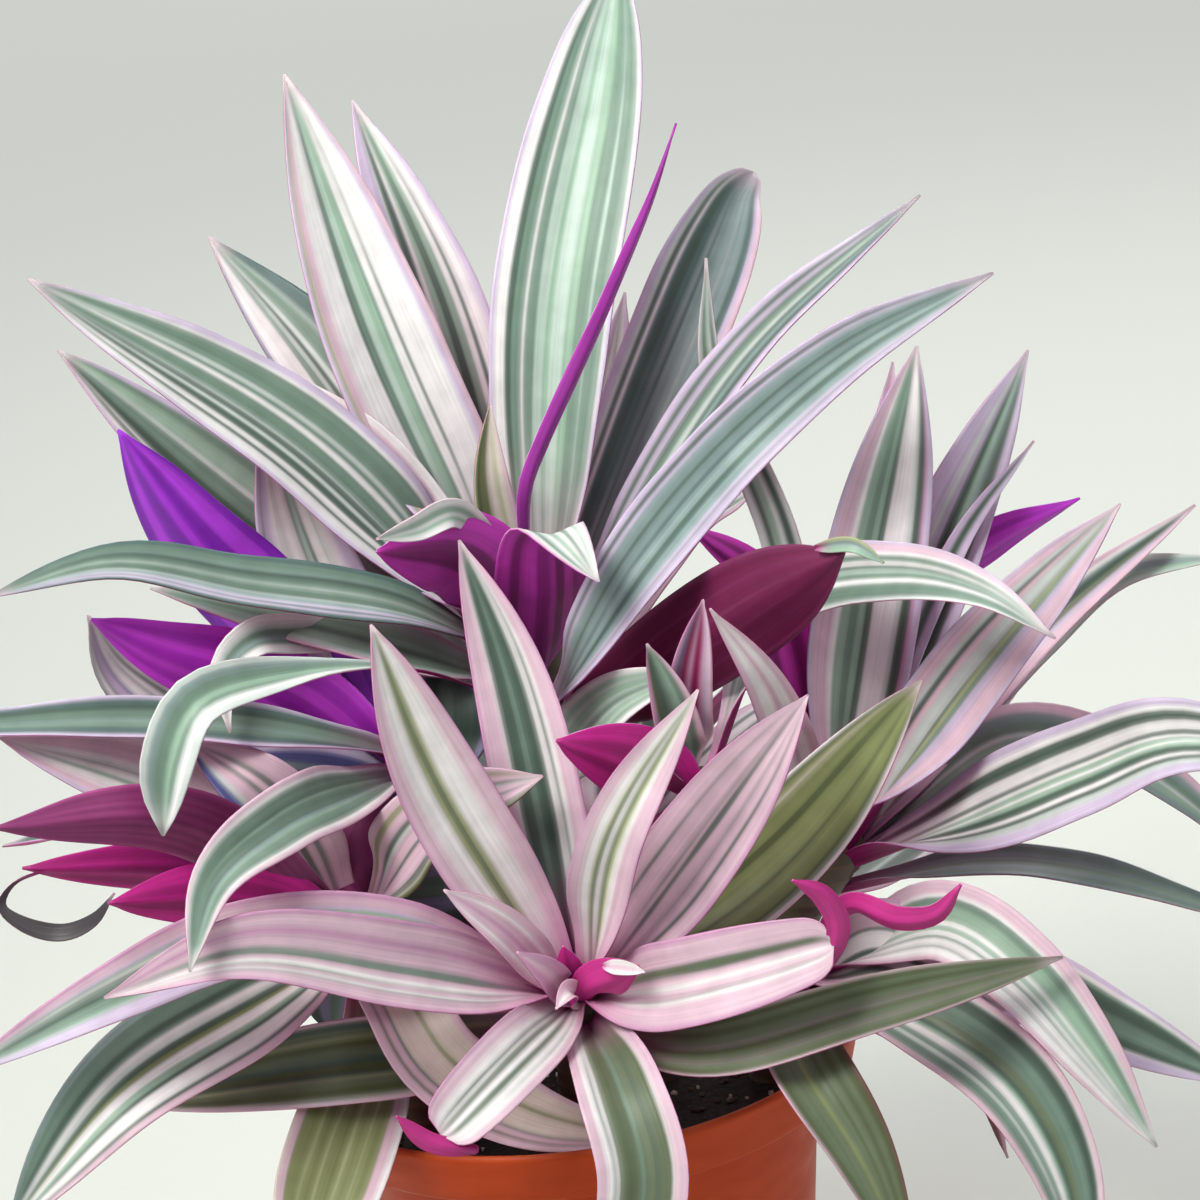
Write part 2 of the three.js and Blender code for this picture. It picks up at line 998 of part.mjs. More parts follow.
      leaf('dark_down', {
        wide: 15,
        turn: 0.8,
        bend: [at(338, 980, -16)],
        tip: at(333, 1034, -14),
        drop: 8,
        widest: 0.6,
      }),
    ],
  }),
  shoot('shoot_low_right', {
    crown: lowRightCrown,
    foot: { x: 46, y: -12 },
    radius: 6,
    leaves: [
      leaf('arch', {
        wide: 20,
        turn: 0.85,
        bend: [at(940, 922, -46), at(1022, 972, -62), at(1088, 1050, -72)],
        tip: at(1157, 1147, -78),
      }),
      leaf('down_right', {
        wide: 21,
        turn: 0.85,
        bend: [at(912, 1012, -52), at(1015, 1083, -70), at(1072, 1190, -80)],
        tip: at(1075, 1300, -82),
        drop: 6,
      }),
      leaf('edge_right', {
        wide: 20,
        turn: 0.8,
        bend: [at(1000, 978, -30), at(1110, 1026, -40)],
        tip: at(1240, 1085, -50),
        drop: 4,
      }),
      leaf('tiny_tip', {
        wide: 7,
        turn: 0.5,
        bend: [at(972, 1075, -44)],
        tip: at(1008, 1158, -50),
        drop: 6,
      }),
      leaf('hanging', {
        wide: 18,
        turn: 0.85,
        bend: [at(808, 1062, -72), at(862, 1150, -86)],
        tip: at(915, 1270, -96),
        drop: 10,
      }),
      leaf('magenta_curl', {
        wide: 6.5,
        turn: 0.7,
        bend: [at(850, 905, -62), at(898, 920, -74), at(936, 914, -78)],
        tip: at(961, 884, -80),
        widest: 0.75,
        waist: 0.25,
        slim: 2,
        back: true,
      }),
      leaf('second', {
        wide: 22,
        turn: 0.8,
        bend: [at(880, 945, -38)],
        tip: at(1010, 1010, -50),
        drop: 3,
      }),
    ],
  }),
  shoot('shoot_back', {
    crown: backCrown,
    foot: { x: 8, y: 34 },
    radius: 6,
    leaves: [],
    far: farLeaves('far', {
      crown: backCrown,
      count: 10,
      middle: 92,
      spread: 170,
      rise: 36,
      length: 118,
      drop: 2,
      wide: 24,
    }),
  }),
];

// ---------------------------------------------------------------- pot and mix
function potProfile() {
  const step = POT_HEIGHT - COLLAR_HEIGHT;
  return [
    [0, 0],
    [BASE_RADIUS - 1.5, 0],
    [BASE_RADIUS, 1.5],
    [BODY_TOP_RADIUS, step - 2],
    [COLLAR_FOOT_RADIUS, step],
    [RIM_RADIUS - 0.5, POT_HEIGHT - 1],
    [RIM_RADIUS - 1.2, POT_HEIGHT],
    [RIM_RADIUS - WALL, POT_HEIGHT],
    [RIM_RADIUS - WALL - 0.8, POT_HEIGHT - 1],
    [COLLAR_FOOT_RADIUS - WALL, step + 2],
    [BODY_TOP_RADIUS - WALL, step - 1],
    [BASE_RADIUS - WALL + 0.3, FLOOR],
    [0, FLOOR],
  ];
}

function lathe(profile) {
  return new THREE.LatheGeometry(
    profile.map(([r, z]) => new THREE.Vector2(r, z)),
    ROUND_SIDES,
  ).rotateX(Math.PI / 2);
}

function rod(radius, low, high, x, y, sides) {
  return new THREE.CylinderGeometry(radius, radius, high - low, sides)
    .rotateX(Math.PI / 2)
    .translate(x, y, (low + high) / 2);
}

function potSolid() {
  let pot = solidFromGeometry(lathe(potProfile()));
  for (let k = 0; k < DRAIN_HOLES; k += 1) {
    const angle = (2 * Math.PI * k) / DRAIN_HOLES;
    const x = DRAIN_CIRCLE * Math.cos(angle);
    const y = DRAIN_CIRCLE * Math.sin(angle);
    pot = pot.subtract(solidFromGeometry(rod(DRAIN_RADIUS, -2, FLOOR + 2, x, y, 12)));
  }
  return pot;
}

function soilSolid() {
  const step = POT_HEIGHT - COLLAR_HEIGHT;
  const wallAt = (z) => {
    const low = BASE_RADIUS - WALL + 0.3;
    const share = (z - FLOOR) / (step - 1 - FLOOR);
    return low + (BODY_TOP_RADIUS - WALL - low) * share - GAP * 1.5;
  };
  const edge = soilHeight(60);
  const profile = [
    [0, FLOOR + GAP],
    [wallAt(FLOOR) - GAP, FLOOR + GAP],
    [wallAt(step - 4), step - 4],
    [wallAt(step - 4), edge - 1],
    [50, soilHeight(50)],
    [36, soilHeight(36) + 1],
    [20, soilHeight(20) - 0.6],
    [0, soilHeight(0)],
  ];
  let soil = solidFromGeometry(lathe(profile));
  for (const { foot, radius, soilTop } of SHOOTS) {
    const low = soilTop - STEM_SINK - GAP;
    const wide = radius * BURIED_SHARE + SOCKET_SLACK;
    soil = soil.subtract(solidFromGeometry(rod(wide, low, POT_HEIGHT + 5, foot.x, foot.y, 14)));
  }
  return soil;
}

// A shoot is one solid: its stem with every leaf sunk into it. The small hollows that close up between
// the clasping leaf bases are filled.
function shootSolid(one) {
  const pieces = [stemSolid(one), ...one.leaves.map((each) => bladeSolid(one, each))];
  const bodies = wasm.Manifold.union(pieces).decompose();
  const outer = bodies.filter((body) => body.volume() > 0);
  if (outer.length !== 1) {
    throw new Error(`${one.name} has a leaf that doesn't reach its stem`);
  }
  return outer[0];
}

// ---------------------------------------------------------------- the object
const group = new THREE.Group();
group.name = 'potted_boat_lily';

function add(name, made, color, roughness) {
  const material = new THREE.MeshStandardMaterial({ color, roughness, metalness: 0 });
  const mesh = new THREE.Mesh(geometryOf(made), material);
  mesh.name = name;
  group.add(mesh);
}

const TERRACOTTA_ORANGE = 0xb84820;
const DARK_MIX = 0x1d1715;
const ROSE_GREEN = 0xa7b59c;

add('pot', potSolid(), TERRACOTTA_ORANGE, 0.55);
add('potting_mix', soilSolid(), DARK_MIX, 0.95);
for (const one of SHOOTS) {
  add(one.name, shootSolid(one), ROSE_GREEN, 0.5);
}

export default group;
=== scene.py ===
"""A potted boat lily of the three-coloured kind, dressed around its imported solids.

The plant is eight rosettes of long keeled leaves, striped white, pink and green above and magenta
below, over a dark potting mix in a terracotta-orange moulded pot. Lengths are in millimetres in the
classes, and turn to metres where a mesh is made. The seeds fix every random choice.
"""

import logging
import math
import re
from dataclasses import dataclass
from dataclasses import field
from enum import Enum

import bmesh
import bpy
import numpy as np
from mathutils import Matrix
from mathutils import Vector
from mathutils import noise

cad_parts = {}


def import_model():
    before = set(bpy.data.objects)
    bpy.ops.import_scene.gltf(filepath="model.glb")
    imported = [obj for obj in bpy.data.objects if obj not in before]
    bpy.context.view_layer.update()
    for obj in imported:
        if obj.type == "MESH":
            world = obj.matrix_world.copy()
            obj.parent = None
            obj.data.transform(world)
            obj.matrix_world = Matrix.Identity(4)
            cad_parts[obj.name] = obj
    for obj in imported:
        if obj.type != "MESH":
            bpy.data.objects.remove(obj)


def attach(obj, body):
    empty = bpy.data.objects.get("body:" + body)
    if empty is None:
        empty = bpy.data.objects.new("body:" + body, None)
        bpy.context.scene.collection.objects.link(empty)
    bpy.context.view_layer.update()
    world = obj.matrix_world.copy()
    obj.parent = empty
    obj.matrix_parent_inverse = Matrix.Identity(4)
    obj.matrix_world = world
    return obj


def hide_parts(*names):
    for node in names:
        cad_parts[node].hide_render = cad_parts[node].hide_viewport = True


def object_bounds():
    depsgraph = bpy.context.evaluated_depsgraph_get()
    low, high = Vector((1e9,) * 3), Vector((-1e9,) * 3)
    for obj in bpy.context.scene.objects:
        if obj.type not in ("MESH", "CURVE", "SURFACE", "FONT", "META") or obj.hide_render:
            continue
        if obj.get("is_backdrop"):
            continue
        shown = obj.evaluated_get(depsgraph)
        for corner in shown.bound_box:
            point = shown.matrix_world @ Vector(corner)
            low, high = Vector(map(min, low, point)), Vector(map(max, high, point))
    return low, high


LOG = logging.getLogger("potted_boat_lily")
MM = 0.001
BODY = "root"
TINT = "tint"
LEAF_MAP = "Leaf"
GOLDEN_ANGLE = 137.508
CURVE_STEPS = 60
CORNER_SHARE = 0.45


class Tone(Enum):
    """The colours of a leaf's bands, each with the letter that the leaf table uses for it."""

    WHITE = ("W", "#ECE8E8")
    LINE_WHITE = ("w", "#CBD2CE")
    CREAM = ("c", "#E2D5CB")
    LILAC = ("L", "#CDBDD6")
    PINK = ("P", "#DCBCCB")
    ROSE = ("R", "#CC9ABB")
    MINT = ("m", "#B4C6BB")
    LIGHT_GREEN = ("g", "#94B09B")
    GREY_GREEN = ("G", "#71897A")
    MIST_TEAL = ("t", "#879A98")
    TEAL = ("T", "#546B68")
    DARK_GREEN = ("D", "#4C5F53")
    LIGHT_OLIVE = ("o", "#AFB48B")
    OLIVE = ("O", "#848C5D")
    DARK_OLIVE = ("d", "#525C3C")
    # K is painted shade, used only on the dark filler leaves; k is a dark violet band, and painted shade
    # there.
    PAINTED_SHADE_GREEN = ("K", "#33433D")
    SHADE_VIOLET = ("k", "#6E6785")
    SLATE_BLUE = ("b", "#54568A")
    BROWN = ("B", "#6E4A45")
    ASH = ("A", "#433E42")
    TAUPE = ("x", "#7E7A70")
    SAGE = ("s", "#667259")
    BURGUNDY = ("U", "#87194F")

    def __init__(self, letter: str, colour: str) -> None:
        """Keep the letter and the sRGB colour."""
        self.letter = letter
        self.colour = colour

    @classmethod
    def table(cls) -> dict[str, np.ndarray]:
        """Give each letter's linear colour."""
        return {tone.letter: linear(tone.colour) for tone in cls}


class Underside(Enum):
    """The colours of a leaf's lower skin: over its green bands, and where pale bands let light by."""

    MAGENTA = ("M", "#8C1260", "#C4248C")
    CERISE = ("H", "#A81C6C", "#C8348C")
    ORCHID = ("O", "#8A2088", "#C446BE")
    FUCHSIA = ("F", "#981CAC", "#CA3ED8")
    VIOLET = ("V", "#7A20B0", "#C046EC")
    BURGUNDY = ("U", "#7A2A5E", "#A84A86")
    WINE = ("W", "#6A1A44", "#80305E")
    PLUM = ("P", "#741A60", "#CC3EBA")

    def __init__(self, letter: str, deep: str, lit: str) -> None:
        """Keep the letter and the two sRGB colours.

        Args:
            letter: The letter that the leaf table uses.
            deep: The colour under green bands.
            lit: The colour under pale bands.
        """
        self.letter = letter
        self.deep = deep
        self.lit = lit


def linear(colour: str) -> np.ndarray:
    """Turn an sRGB hex colour into linear light.

    Args:
        colour: The colour, as "#RRGGBB".

    Returns:
        The three linear parts, 0 to 1.
    """
    parts = np.array([int(colour[k:k + 2], 16) for k in (1, 3, 5)]) / 255
    return np.where(parts <= 0.04045, parts / 12.92, ((parts + 0.055) / 1.055) ** 2.4)


def smooth(x: np.ndarray | float) -> np.ndarray | float:
    """Ease from 0 to 1 as x goes from 0 to 1."""
    s = np.clip(x, 0, 1)
    return s * s * (3 - 2 * s)


def unit(rows: np.ndarray) -> np.ndarray:
    """Scale each row to length one."""
    return rows / np.maximum(np.linalg.norm(rows, axis=-1, keepdims=True), 1e-9)


def without(rows: np.ndarray, along: np.ndarray) -> np.ndarray:
    """Take out of each row its part along a unit direction, and scale what is left to one."""
    return unit(rows - np.sum(rows * along, axis=-1, keepdims=True) * along)


def turned(rows: np.ndarray, along: np.ndarray, angle: np.ndarray) -> np.ndarray:
    """Turn each row by its angle about a unit direction that is square to it."""
    return rows * np.cos(angle)[:, None] + np.cross(along, rows) * np.sin(angle)[:, None]


def wander(rng: np.random.Generator, rows: int, knots: int, size: float) -> np.ndarray:
    """Draw a slow random curve.

    Args:
        rng: The seeded source of the draws.
        rows: How many values to give.
        knots: How many turning points the curve has.
        size: How far it strays from 0.

    Returns:
        The values, evenly spaced along the curve.
    """
    marks = rng.uniform(-size, size, knots)
    place = np.linspace(0, knots - 1, rows)
    low = np.minimum(place.astype(int), knots - 2)
    share = smooth(place - low)
    return marks[low] * (1 - share) + marks[low + 1] * share


@dataclass(frozen=True)
class PhotoView:
    """The camera of the photograph, found from the pot's rim and from how the plant leans.

    The photograph is 1200 pixels wide and high, and its middle is on the camera's axis.
    """

    focal: float = 4090.0
    middle: float = 600.0
    pitch: float = 16.5
    roll: float = 8.0
    distance: float = 1000.0
    rim_across: float = 577.0
    rim_down: float = 1035.0
    rim_height: float = 122.0
    sensor: float = 36.0
    far_clip: float = 50.0

    def axes(self) -> tuple[np.ndarray, np.ndarray, np.ndarray]:
        """Find how the camera is turned.

        Returns:
            The directions to its right, upwards and ahead.
        """
        pitch = math.radians(self.pitch)
        roll = math.radians(self.roll)
        ahead = np.array([0, math.cos(pitch), -math.sin(pitch)])
        level_up = np.array([0, math.sin(pitch), math.cos(pitch)])
        east = np.array([1.0, 0, 0])
        right = east * math.cos(roll) - level_up * math.sin(roll)
        up = level_up * math.cos(roll) + east * math.sin(roll)
        return right, up, ahead

    def ray(self, across: float, down: float) -> np.ndarray:
        """Give the direction in which a pixel of the photograph looks."""
        right, up, ahead = self.axes()
        return ahead + (right * (across - self.middle) + up * (self.middle - down)) / self.focal

    def eye(self) -> np.ndarray:
        """Give the camera's place."""
        return np.array([0, 0, self.rim_height]) - self.ray(self.rim_across, self.rim_down) * self.distance

    def at(self, across: float, down: float, behind: float) -> np.ndarray:
        """Find the place of a point of the photograph.

        Args:
            across: Its pixel across the photograph.
            down: Its pixel down the photograph.
            behind: How far it lies behind the pot's axis.

        Returns:
            The place, in millimetres.
        """
        line = self.ray(across, down)
        eye = self.eye()
        return eye + line * (behind - eye[1]) / line[1]

    def make(self) -> None:
        """Set up the scene's camera."""
        right, up, ahead = self.axes()
        data = bpy.data.cameras.new("photo_camera")
        data.sensor_width = self.sensor
        data.lens = self.focal / (2 * self.middle) * self.sensor
        data.clip_end = self.far_clip
        camera = bpy.data.objects.new("photo_camera", data)
        turn = Matrix((right, up, -ahead)).transposed().to_4x4()
        camera.matrix_world = Matrix.Translation(Vector(self.eye() * MM)) @ turn
        bpy.context.scene.collection.objects.link(camera)
        bpy.context.scene.camera = camera


VIEW = PhotoView()


def add_node(
    tree: bpy.types.NodeTree, kind: str, inputs: dict[str | int, object] | None = None, **settings: object
) -> bpy.types.Node:
    """Add a shader node with its settings, its values and its links.

    Args:
        tree: The material's or world's node tree.
        kind: The node's type name, without "ShaderNode".
        inputs: For each input, its value or the output that feeds it.
        settings: The node's own properties.

    Returns:
        The new node.
    """
    node = tree.nodes.new(f"ShaderNode{kind}")
    for name, value in settings.items():
        setattr(node, name, value)
    for name, value in (inputs or {}).items():
        if isinstance(value, bpy.types.NodeSocket):
            tree.links.new(value, node.inputs[name])
        else:
            node.inputs[name].default_value = value
    return node


def rgba(colour: str) -> tuple[float, float, float, float]:
    """Turn an sRGB hex colour into the four numbers of a colour socket."""
    return (*linear(colour), 1.0)


@dataclass(frozen=True)
class Finish:
    """What every finish has: a name, and a Principled shader that ends its node tree."""

    name: str

    def blank(self) -> bpy.types.Material:
        """Start the material.

        Returns:
            A new material with an empty node tree.
        """
        material = bpy.data.materials.new(self.name)
        material.use_nodes = True
        material.node_tree.nodes.clear()
        return material

    def close(self, tree: bpy.types.NodeTree, inputs: dict[str, object]) -> None:
        """End a node tree with a Principled shader.

        Args:
            tree: The material's node tree.
            inputs: The shader's values and links.
        """
        shader = add_node(tree, "BsdfPrincipled", inputs)
        add_node(tree, "OutputMaterial", {"Surface": shader.outputs["BSDF"]})


@dataclass(frozen=True)
class LeafSkin(Finish):
    """Living leaf, one side of it, grown: cells in long rows under a thin wax.

    The bands of colour are in the mesh. The skin adds the fine lengthwise veins, which the eye reads
    as silky streaks, a slow mottling, and a soft satin shine from the wax.
    """

    vein: float = 0.55
    vein_length: float = 40.0
    stripe: float = 1.5
    mottle: float = 7.0
    depth: float = 0.06
    streak: float = 0.17
    roughness: float = 0.42
    wax_index: float = 1.42
    glow: float = 0.1
    glow_reach: float = 0.8

    def make(self) -> bpy.types.Material:
        """Build the material.

        Returns:
            The material.
        """
        material = self.blank()
        tree = material.node_tree
        tint = add_node(tree, "VertexColor", layer_name=TINT).outputs["Color"]
        place = add_node(tree, "UVMap", uv_map=LEAF_MAP).outputs["UV"]
        # Real veins are about 0.3 mm apart; they are drawn 0.55 mm apart, to show at all.
        rows_scale = (1 / (self.vein * MM), 1 / (self.vein_length * MM), 1)
        rows = add_node(tree, "Mapping", {"Vector": place, "Scale": rows_scale}).outputs["Vector"]
        veins = add_node(tree, "TexNoise", {"Vector": rows, "Scale": 1.0, "Detail": 3.0}).outputs["Fac"]
        band_noise = {"Vector": rows, "Scale": self.vein / self.stripe, "Detail": 2.0}
        bands = add_node(tree, "TexNoise", band_noise).outputs["Fac"]
        blot_noise = {"Vector": place, "Scale": 1 / (self.mottle * MM), "Detail": 2.0}
        blots = add_node(tree, "TexNoise", blot_noise).outputs["Fac"]
        both = add_node(tree, "Math", {0: veins, 1: bands}, operation="ADD").outputs[0]
        every = add_node(tree, "Math", {0: both, 1: blots}, operation="ADD").outputs[0]
        spread = {"From Min": 1.0, "From Max": 2.0, "To Min": 1 - self.streak, "To Max": 1 + self.streak}
        shade = add_node(tree, "MapRange", {"Value": every, **spread}).outputs["Result"]
        colour = add_node(tree, "VectorMath", {0: tint, 1: shade}, operation="MULTIPLY")
        bump = add_node(tree, "Bump", {"Height": veins, "Distance": self.depth * MM, "Strength": 1.0})
        self.close(
            tree,
            {
                "Base Color": colour.outputs["Vector"],
                "Roughness": self.roughness,
                "IOR": self.wax_index,
                "Subsurface Weight": self.glow,
                "Subsurface Radius": (1.0, 0.8, 0.7),
                "Subsurface Scale": self.glow_reach * MM,
                "Normal": bump.outputs["Normal"],
            },
        )
        return material


@dataclass(frozen=True)
class StemSkin(Finish):
    """Living succulent stem, grown: ringed by the scars of old leaves.

    The rings and the drift from green to purple make it read as a living stalk, not a rod.
    """

    green: str = "#5A6340"
    purple: str = "#5B2B4A"
    scar: str = "#6B5A48"
    ring: float = 4.5
    ring_depth: float = 0.3
    patch: float = 9.0

    # At a scale of 1 a wave texture repeats every pi / 10.
    WAVE_PERIOD = 0.314

    def make(self) -> bpy.types.Material:
        """Build the material.

        Returns:
            The material.
        """
        material = self.blank()
        tree = material.node_tree
        place = add_node(tree, "TexCoord").outputs["Object"]
        patch_noise = {"Vector": place, "Scale": 1 / (self.patch * MM), "Detail": 3.0}
        patches = add_node(tree, "TexNoise", patch_noise).outputs["Fac"]
        ring_wave = {"Vector": place, "Scale": self.WAVE_PERIOD / (self.ring * MM), "Distortion": 1.5}
        rings = add_node(tree, "TexWave", ring_wave, bands_direction="Z").outputs["Fac"]
        drift = {"Factor": patches, "A": rgba(self.green), "B": rgba(self.purple)}
        living = add_node(tree, "Mix", drift, data_type="RGBA").outputs["Result"]
        scars = {"Value": rings, "From Min": 0.75, "From Max": 1.0, "To Max": 0.7}
        band = add_node(tree, "MapRange", scars).outputs["Result"]
        scarred = {"Factor": band, "A": living, "B": rgba(self.scar)}
        colour = add_node(tree, "Mix", scarred, data_type="RGBA").outputs["Result"]
        bump = add_node(tree, "Bump", {"Height": rings, "Distance": self.ring_depth * MM, "Strength": 0.8})
        normal = bump.outputs["Normal"]
        self.close(tree, {"Base Color": colour, "Roughness": 0.5, "IOR": 1.42, "Normal": normal})
        return material


@dataclass(frozen=True)
class MouldedPolypropylene(Finish):
    """Polypropylene, injection moulded in terracotta orange.

    It is an even, slightly waxy orange with a fine matt grain from the mould, faint flow streaks
    round the wall, a paler scuffed rim, and little dried specks of the mix all over it.
    """

    body: str = "#CE480E"
    shade: str = "#A03408"
    scuff: str = "#DB8A62"
    splash: str = "#8F4A2C"
    grain: float = 0.5
    grain_depth: float = 0.05
    flow: float = 22.0
    flow_flatness: float = 3.5
    rim_low: float = 120.6
    rim_high: float = 122.0

    def make(self) -> bpy.types.Material:
        """Build the material.

        Returns:
            The material.
        """
        material = self.blank()
        tree = material.node_tree
        place = add_node(tree, "TexCoord").outputs["Object"]
        height = add_node(tree, "SeparateXYZ", {"Vector": place}).outputs["Z"]
        # The mould's grain is about 0.1 mm wide; it is drawn 0.5 mm wide, to show at all.
        grain_noise = {"Vector": place, "Scale": 1 / (self.grain * MM), "Detail": 4.0}
        grain = add_node(tree, "TexNoise", grain_noise).outputs["Fac"]
        squash = {"Vector": place, "Scale": (1.0, 1.0, self.flow_flatness)}
        squashed = add_node(tree, "Mapping", squash).outputs["Vector"]
        flow_noise = {"Vector": squashed, "Scale": 1 / (self.flow * MM), "Detail": 5.0}
        flow = add_node(tree, "TexNoise", flow_noise).outputs["Fac"]
        streaks = {"Factor": flow, "A": rgba(self.body), "B": rgba(self.shade)}
        base = add_node(tree, "Mix", streaks, data_type="RGBA").outputs["Result"]
        drops = {"Value": grain, "From Min": 0.66, "From Max": 0.72, "To Max": 0.35}
        specks = add_node(tree, "MapRange", drops).outputs["Result"]
        splashes = {"Factor": specks, "A": base, "B": rgba(self.splash)}
        dusty = add_node(tree, "Mix", splashes, data_type="RGBA").outputs["Result"]
        edge = {"From Min": self.rim_low * MM, "From Max": self.rim_high * MM, "To Max": 0.32}
        rim = add_node(tree, "MapRange", {"Value": height, **edge}).outputs["Result"]
        worn = add_node(tree, "Math", {0: rim, 1: flow}, operation="MULTIPLY").outputs[0]
        scuffs = {"Factor": worn, "A": dusty, "B": rgba(self.scuff)}
        colour = add_node(tree, "Mix", scuffs, data_type="RGBA").outputs["Result"]
        shine = {"From Min": 0.3, "From Max": 0.7, "To Min": 0.42, "To Max": 0.56}
        polish = add_node(tree, "MapRange", {"Value": flow, **shine}).outputs["Result"]
        relief = {"Height": grain, "Distance": self.grain_depth * MM, "Strength": 0.6}
        bump = add_node(tree, "Bump", relief).outputs["Normal"]
        self.close(
            tree,
            {
                "Base Color": colour,
                "Roughness": polish,
                "IOR": 1.49,
                "Specular IOR Level": 0.22,
                "Normal": bump,
            },
        )
        return material


@dataclass(frozen=True)
class Crumb(Finish):
    """One stuff of the potting mix, loose and dry on top: peat, bark or expanded perlite.

    Peat and bark drink the light and read as a dark crumbly bed; perlite is a rough chalky grain
    that stands out pale against them. `crumb` is the width of its crumbs in millimetres.
    """

    dark: str
    light: str
    crumb: float = 1.6
    depth: float = 0.5
    roughness: float = 0.95

    def make(self) -> bpy.types.Material:
        """Build the material.

        Returns:
            The material.
        """
        material = self.blank()
        tree = material.node_tree
        place = add_node(tree, "TexCoord").outputs["Object"]
        crumb_noise = {"Vector": place, "Scale": 1 / (self.crumb * MM), "Detail": 6.0}
        crumbs = add_node(tree, "TexNoise", crumb_noise).outputs["Fac"]
        clods = {"Value": crumbs, "From Min": 0.35, "From Max": 0.7}
        share = add_node(tree, "MapRange", clods).outputs["Result"]
        both = {"Factor": share, "A": rgba(self.dark), "B": rgba(self.light)}
        colour = add_node(tree, "Mix", both, data_type="RGBA").outputs["Result"]
        bump = add_node(tree, "Bump", {"Height": crumbs, "Distance": self.depth * MM, "Strength": 0.9})
        normal = bump.outputs["Normal"]
        self.close(tree, {"Base Color": colour, "Roughness": self.roughness, "IOR": 1.45, "Normal": normal})
        return material


@dataclass(frozen=True)
class StudioPaper(Finish):
    """Paper, calendered and matt: the pale ground that the pot stands on, with no pattern to see."""

    colour: str = "#D9DCD4"

    def make(self) -> bpy.types.Material:
        """Build the material.

        Returns:
            The material.
        """
        material = self.blank()
        self.close(material.node_tree, {"Base Color": rgba(self.colour), "Roughness": 0.9, "IOR": 1.45})
        return material


@dataclass
class MeshParts:
    """The points, faces, colours and leaf places that gather into one mesh.

    Each face is a tuple of point numbers, with the number of its material and whether it is smooth.
    """

    points: list[np.ndarray] = field(default_factory=list)
    tints: list[np.ndarray] = field(default_factory=list)
    places: list[np.ndarray] = field(default_factory=list)
    faces: list[tuple[int, ...]] = field(default_factory=list)
    slots: list[int] = field(default_factory=list)
    soft: list[bool] = field(default_factory=list)
    count: int = 0

    def add_points(self, points: np.ndarray, tints: np.ndarray, places: np.ndarray) -> int:
        """Add points.

        Args:
            points: Their places in millimetres.
            tints: Their linear colours.
            places: Their places across and along the leaf, in millimetres.

        Returns:
            The number of the first of them.
        """
        first = self.count
        self.points.append(points)
        self.tints.append(tints)
        self.places.append(places)
        self.count += len(points)
        return first

    def add_faces(self, faces: list[tuple[int, ...]], slot: int, soft: bool = True) -> None:
        """Add faces of one material.

        Args:
            faces: The numbers of each face's points.
            slot: The number of the material.
            soft: Whether they are shaded as one smooth skin.
        """
        self.faces.extend(faces)
        self.slots.extend([slot] * len(faces))
        self.soft.extend([soft] * len(faces))

    def make(self, name: str, materials: list[bpy.types.Material]) -> bpy.types.Object:
        """Make the object.

        Args:
            name: The object's name.
            materials: Its materials, in the order of their numbers.

        Returns:
            The object, in the scene.
        """
        points = np.concatenate(self.points) * MM
        tints = np.concatenate(self.tints)
        places = np.concatenate(self.places) * MM
        mesh = bpy.data.meshes.new(name)
        mesh.from_pydata(points.tolist(), [], self.faces)
        for material in materials:
            mesh.materials.append(material)
        mesh.polygons.foreach_set("material_index", self.slots)
        mesh.polygons.foreach_set("use_smooth", self.soft)
        layer = mesh.color_attributes.new(TINT, "FLOAT_COLOR", "POINT")
        layer.data.foreach_set("color", np.column_stack([tints, np.ones(len(tints))]).ravel())
        corner = np.empty(len(mesh.loops), dtype=np.int32)
        mesh.loops.foreach_get("vertex_index", corner)
        mesh.uv_layers.new(name=LEAF_MAP).uv.foreach_set("vector", places[corner].ravel())
        mesh.update()
        piece = bpy.data.objects.new(name, mesh)
        bpy.context.scene.collection.objects.link(piece)
        return piece


@dataclass(frozen=True)
class Leaf:
    """One leaf.

    `wide` is its width and `turn` how far it turns to face the camera, 0 to 1. `path` holds points of
    the photograph that its midrib passes, each with how far behind the pot's axis it lies, and `line`
    places in millimetres instead. `drop` is how far below the crown it starts and `start` another
    start. `keel` is how many degrees each half is folded up, `back` marks a leaf that shows its lower
    skin, and `twist` is where along it the turn begins and ends. `widest` is where along it the blade
    is widest, `waist` its share of that width at the root, `slim` how slowly it swells from there, and
    `end` its share at a tip that is blunt or folded over, which is rounded over the last `rounding` of
    its length. `marks` are the bands of its upper skin from margin to margin, each a letter of Tone and
    a share of the width. `under` is a letter of Underside. `blush` is how pink its base is, and
    `tip_tone` colours its last part.
    """

    name: str
    wide: float
    turn: float
    path: list[tuple[float, float, float]]
    marks: str
    drop: float = 0.0
    keel: float = 16.0
    back: bool = False
    twist: tuple[float, float] = (0.0, 0.45)
    widest: float = 0.4
    waist: float = 0.34
    slim: float = 1.0
    end: float = 0.0
    rounding: float = 0.1
    start: tuple[float, float, float] | None = None
    under: str = "M"
    line: np.ndarray | None = None
    blush: float = 0.45
    tip_tone: str = "P"


@dataclass(frozen=True)
class FarLeaves:
    """Leaves on the far side, which the photograph doesn't show.

    They follow the plant's own habit: each stands a golden angle on from the one before.
    """

    name: str
    count: int
    middle: float
    spread: float
    rise: float
    length: float
    drop: float
    wide: float


# The bands that the far leaves take in turn.
FAR_MARKS = (
    "L4 W6 G8 w2 G10 w1 g8 W3 D4 W8 L4",
    "P4 W3 D8 m2 G12 D5 W6 P6",
    "L3 w2 D9 T12 w2 D6 W3 D3 L5",
    "P6 W4 G5 o3 G8 W7 D3 W3 P6",
    "L4 G9 w2 G12 m3 G6 W4 L4",
)


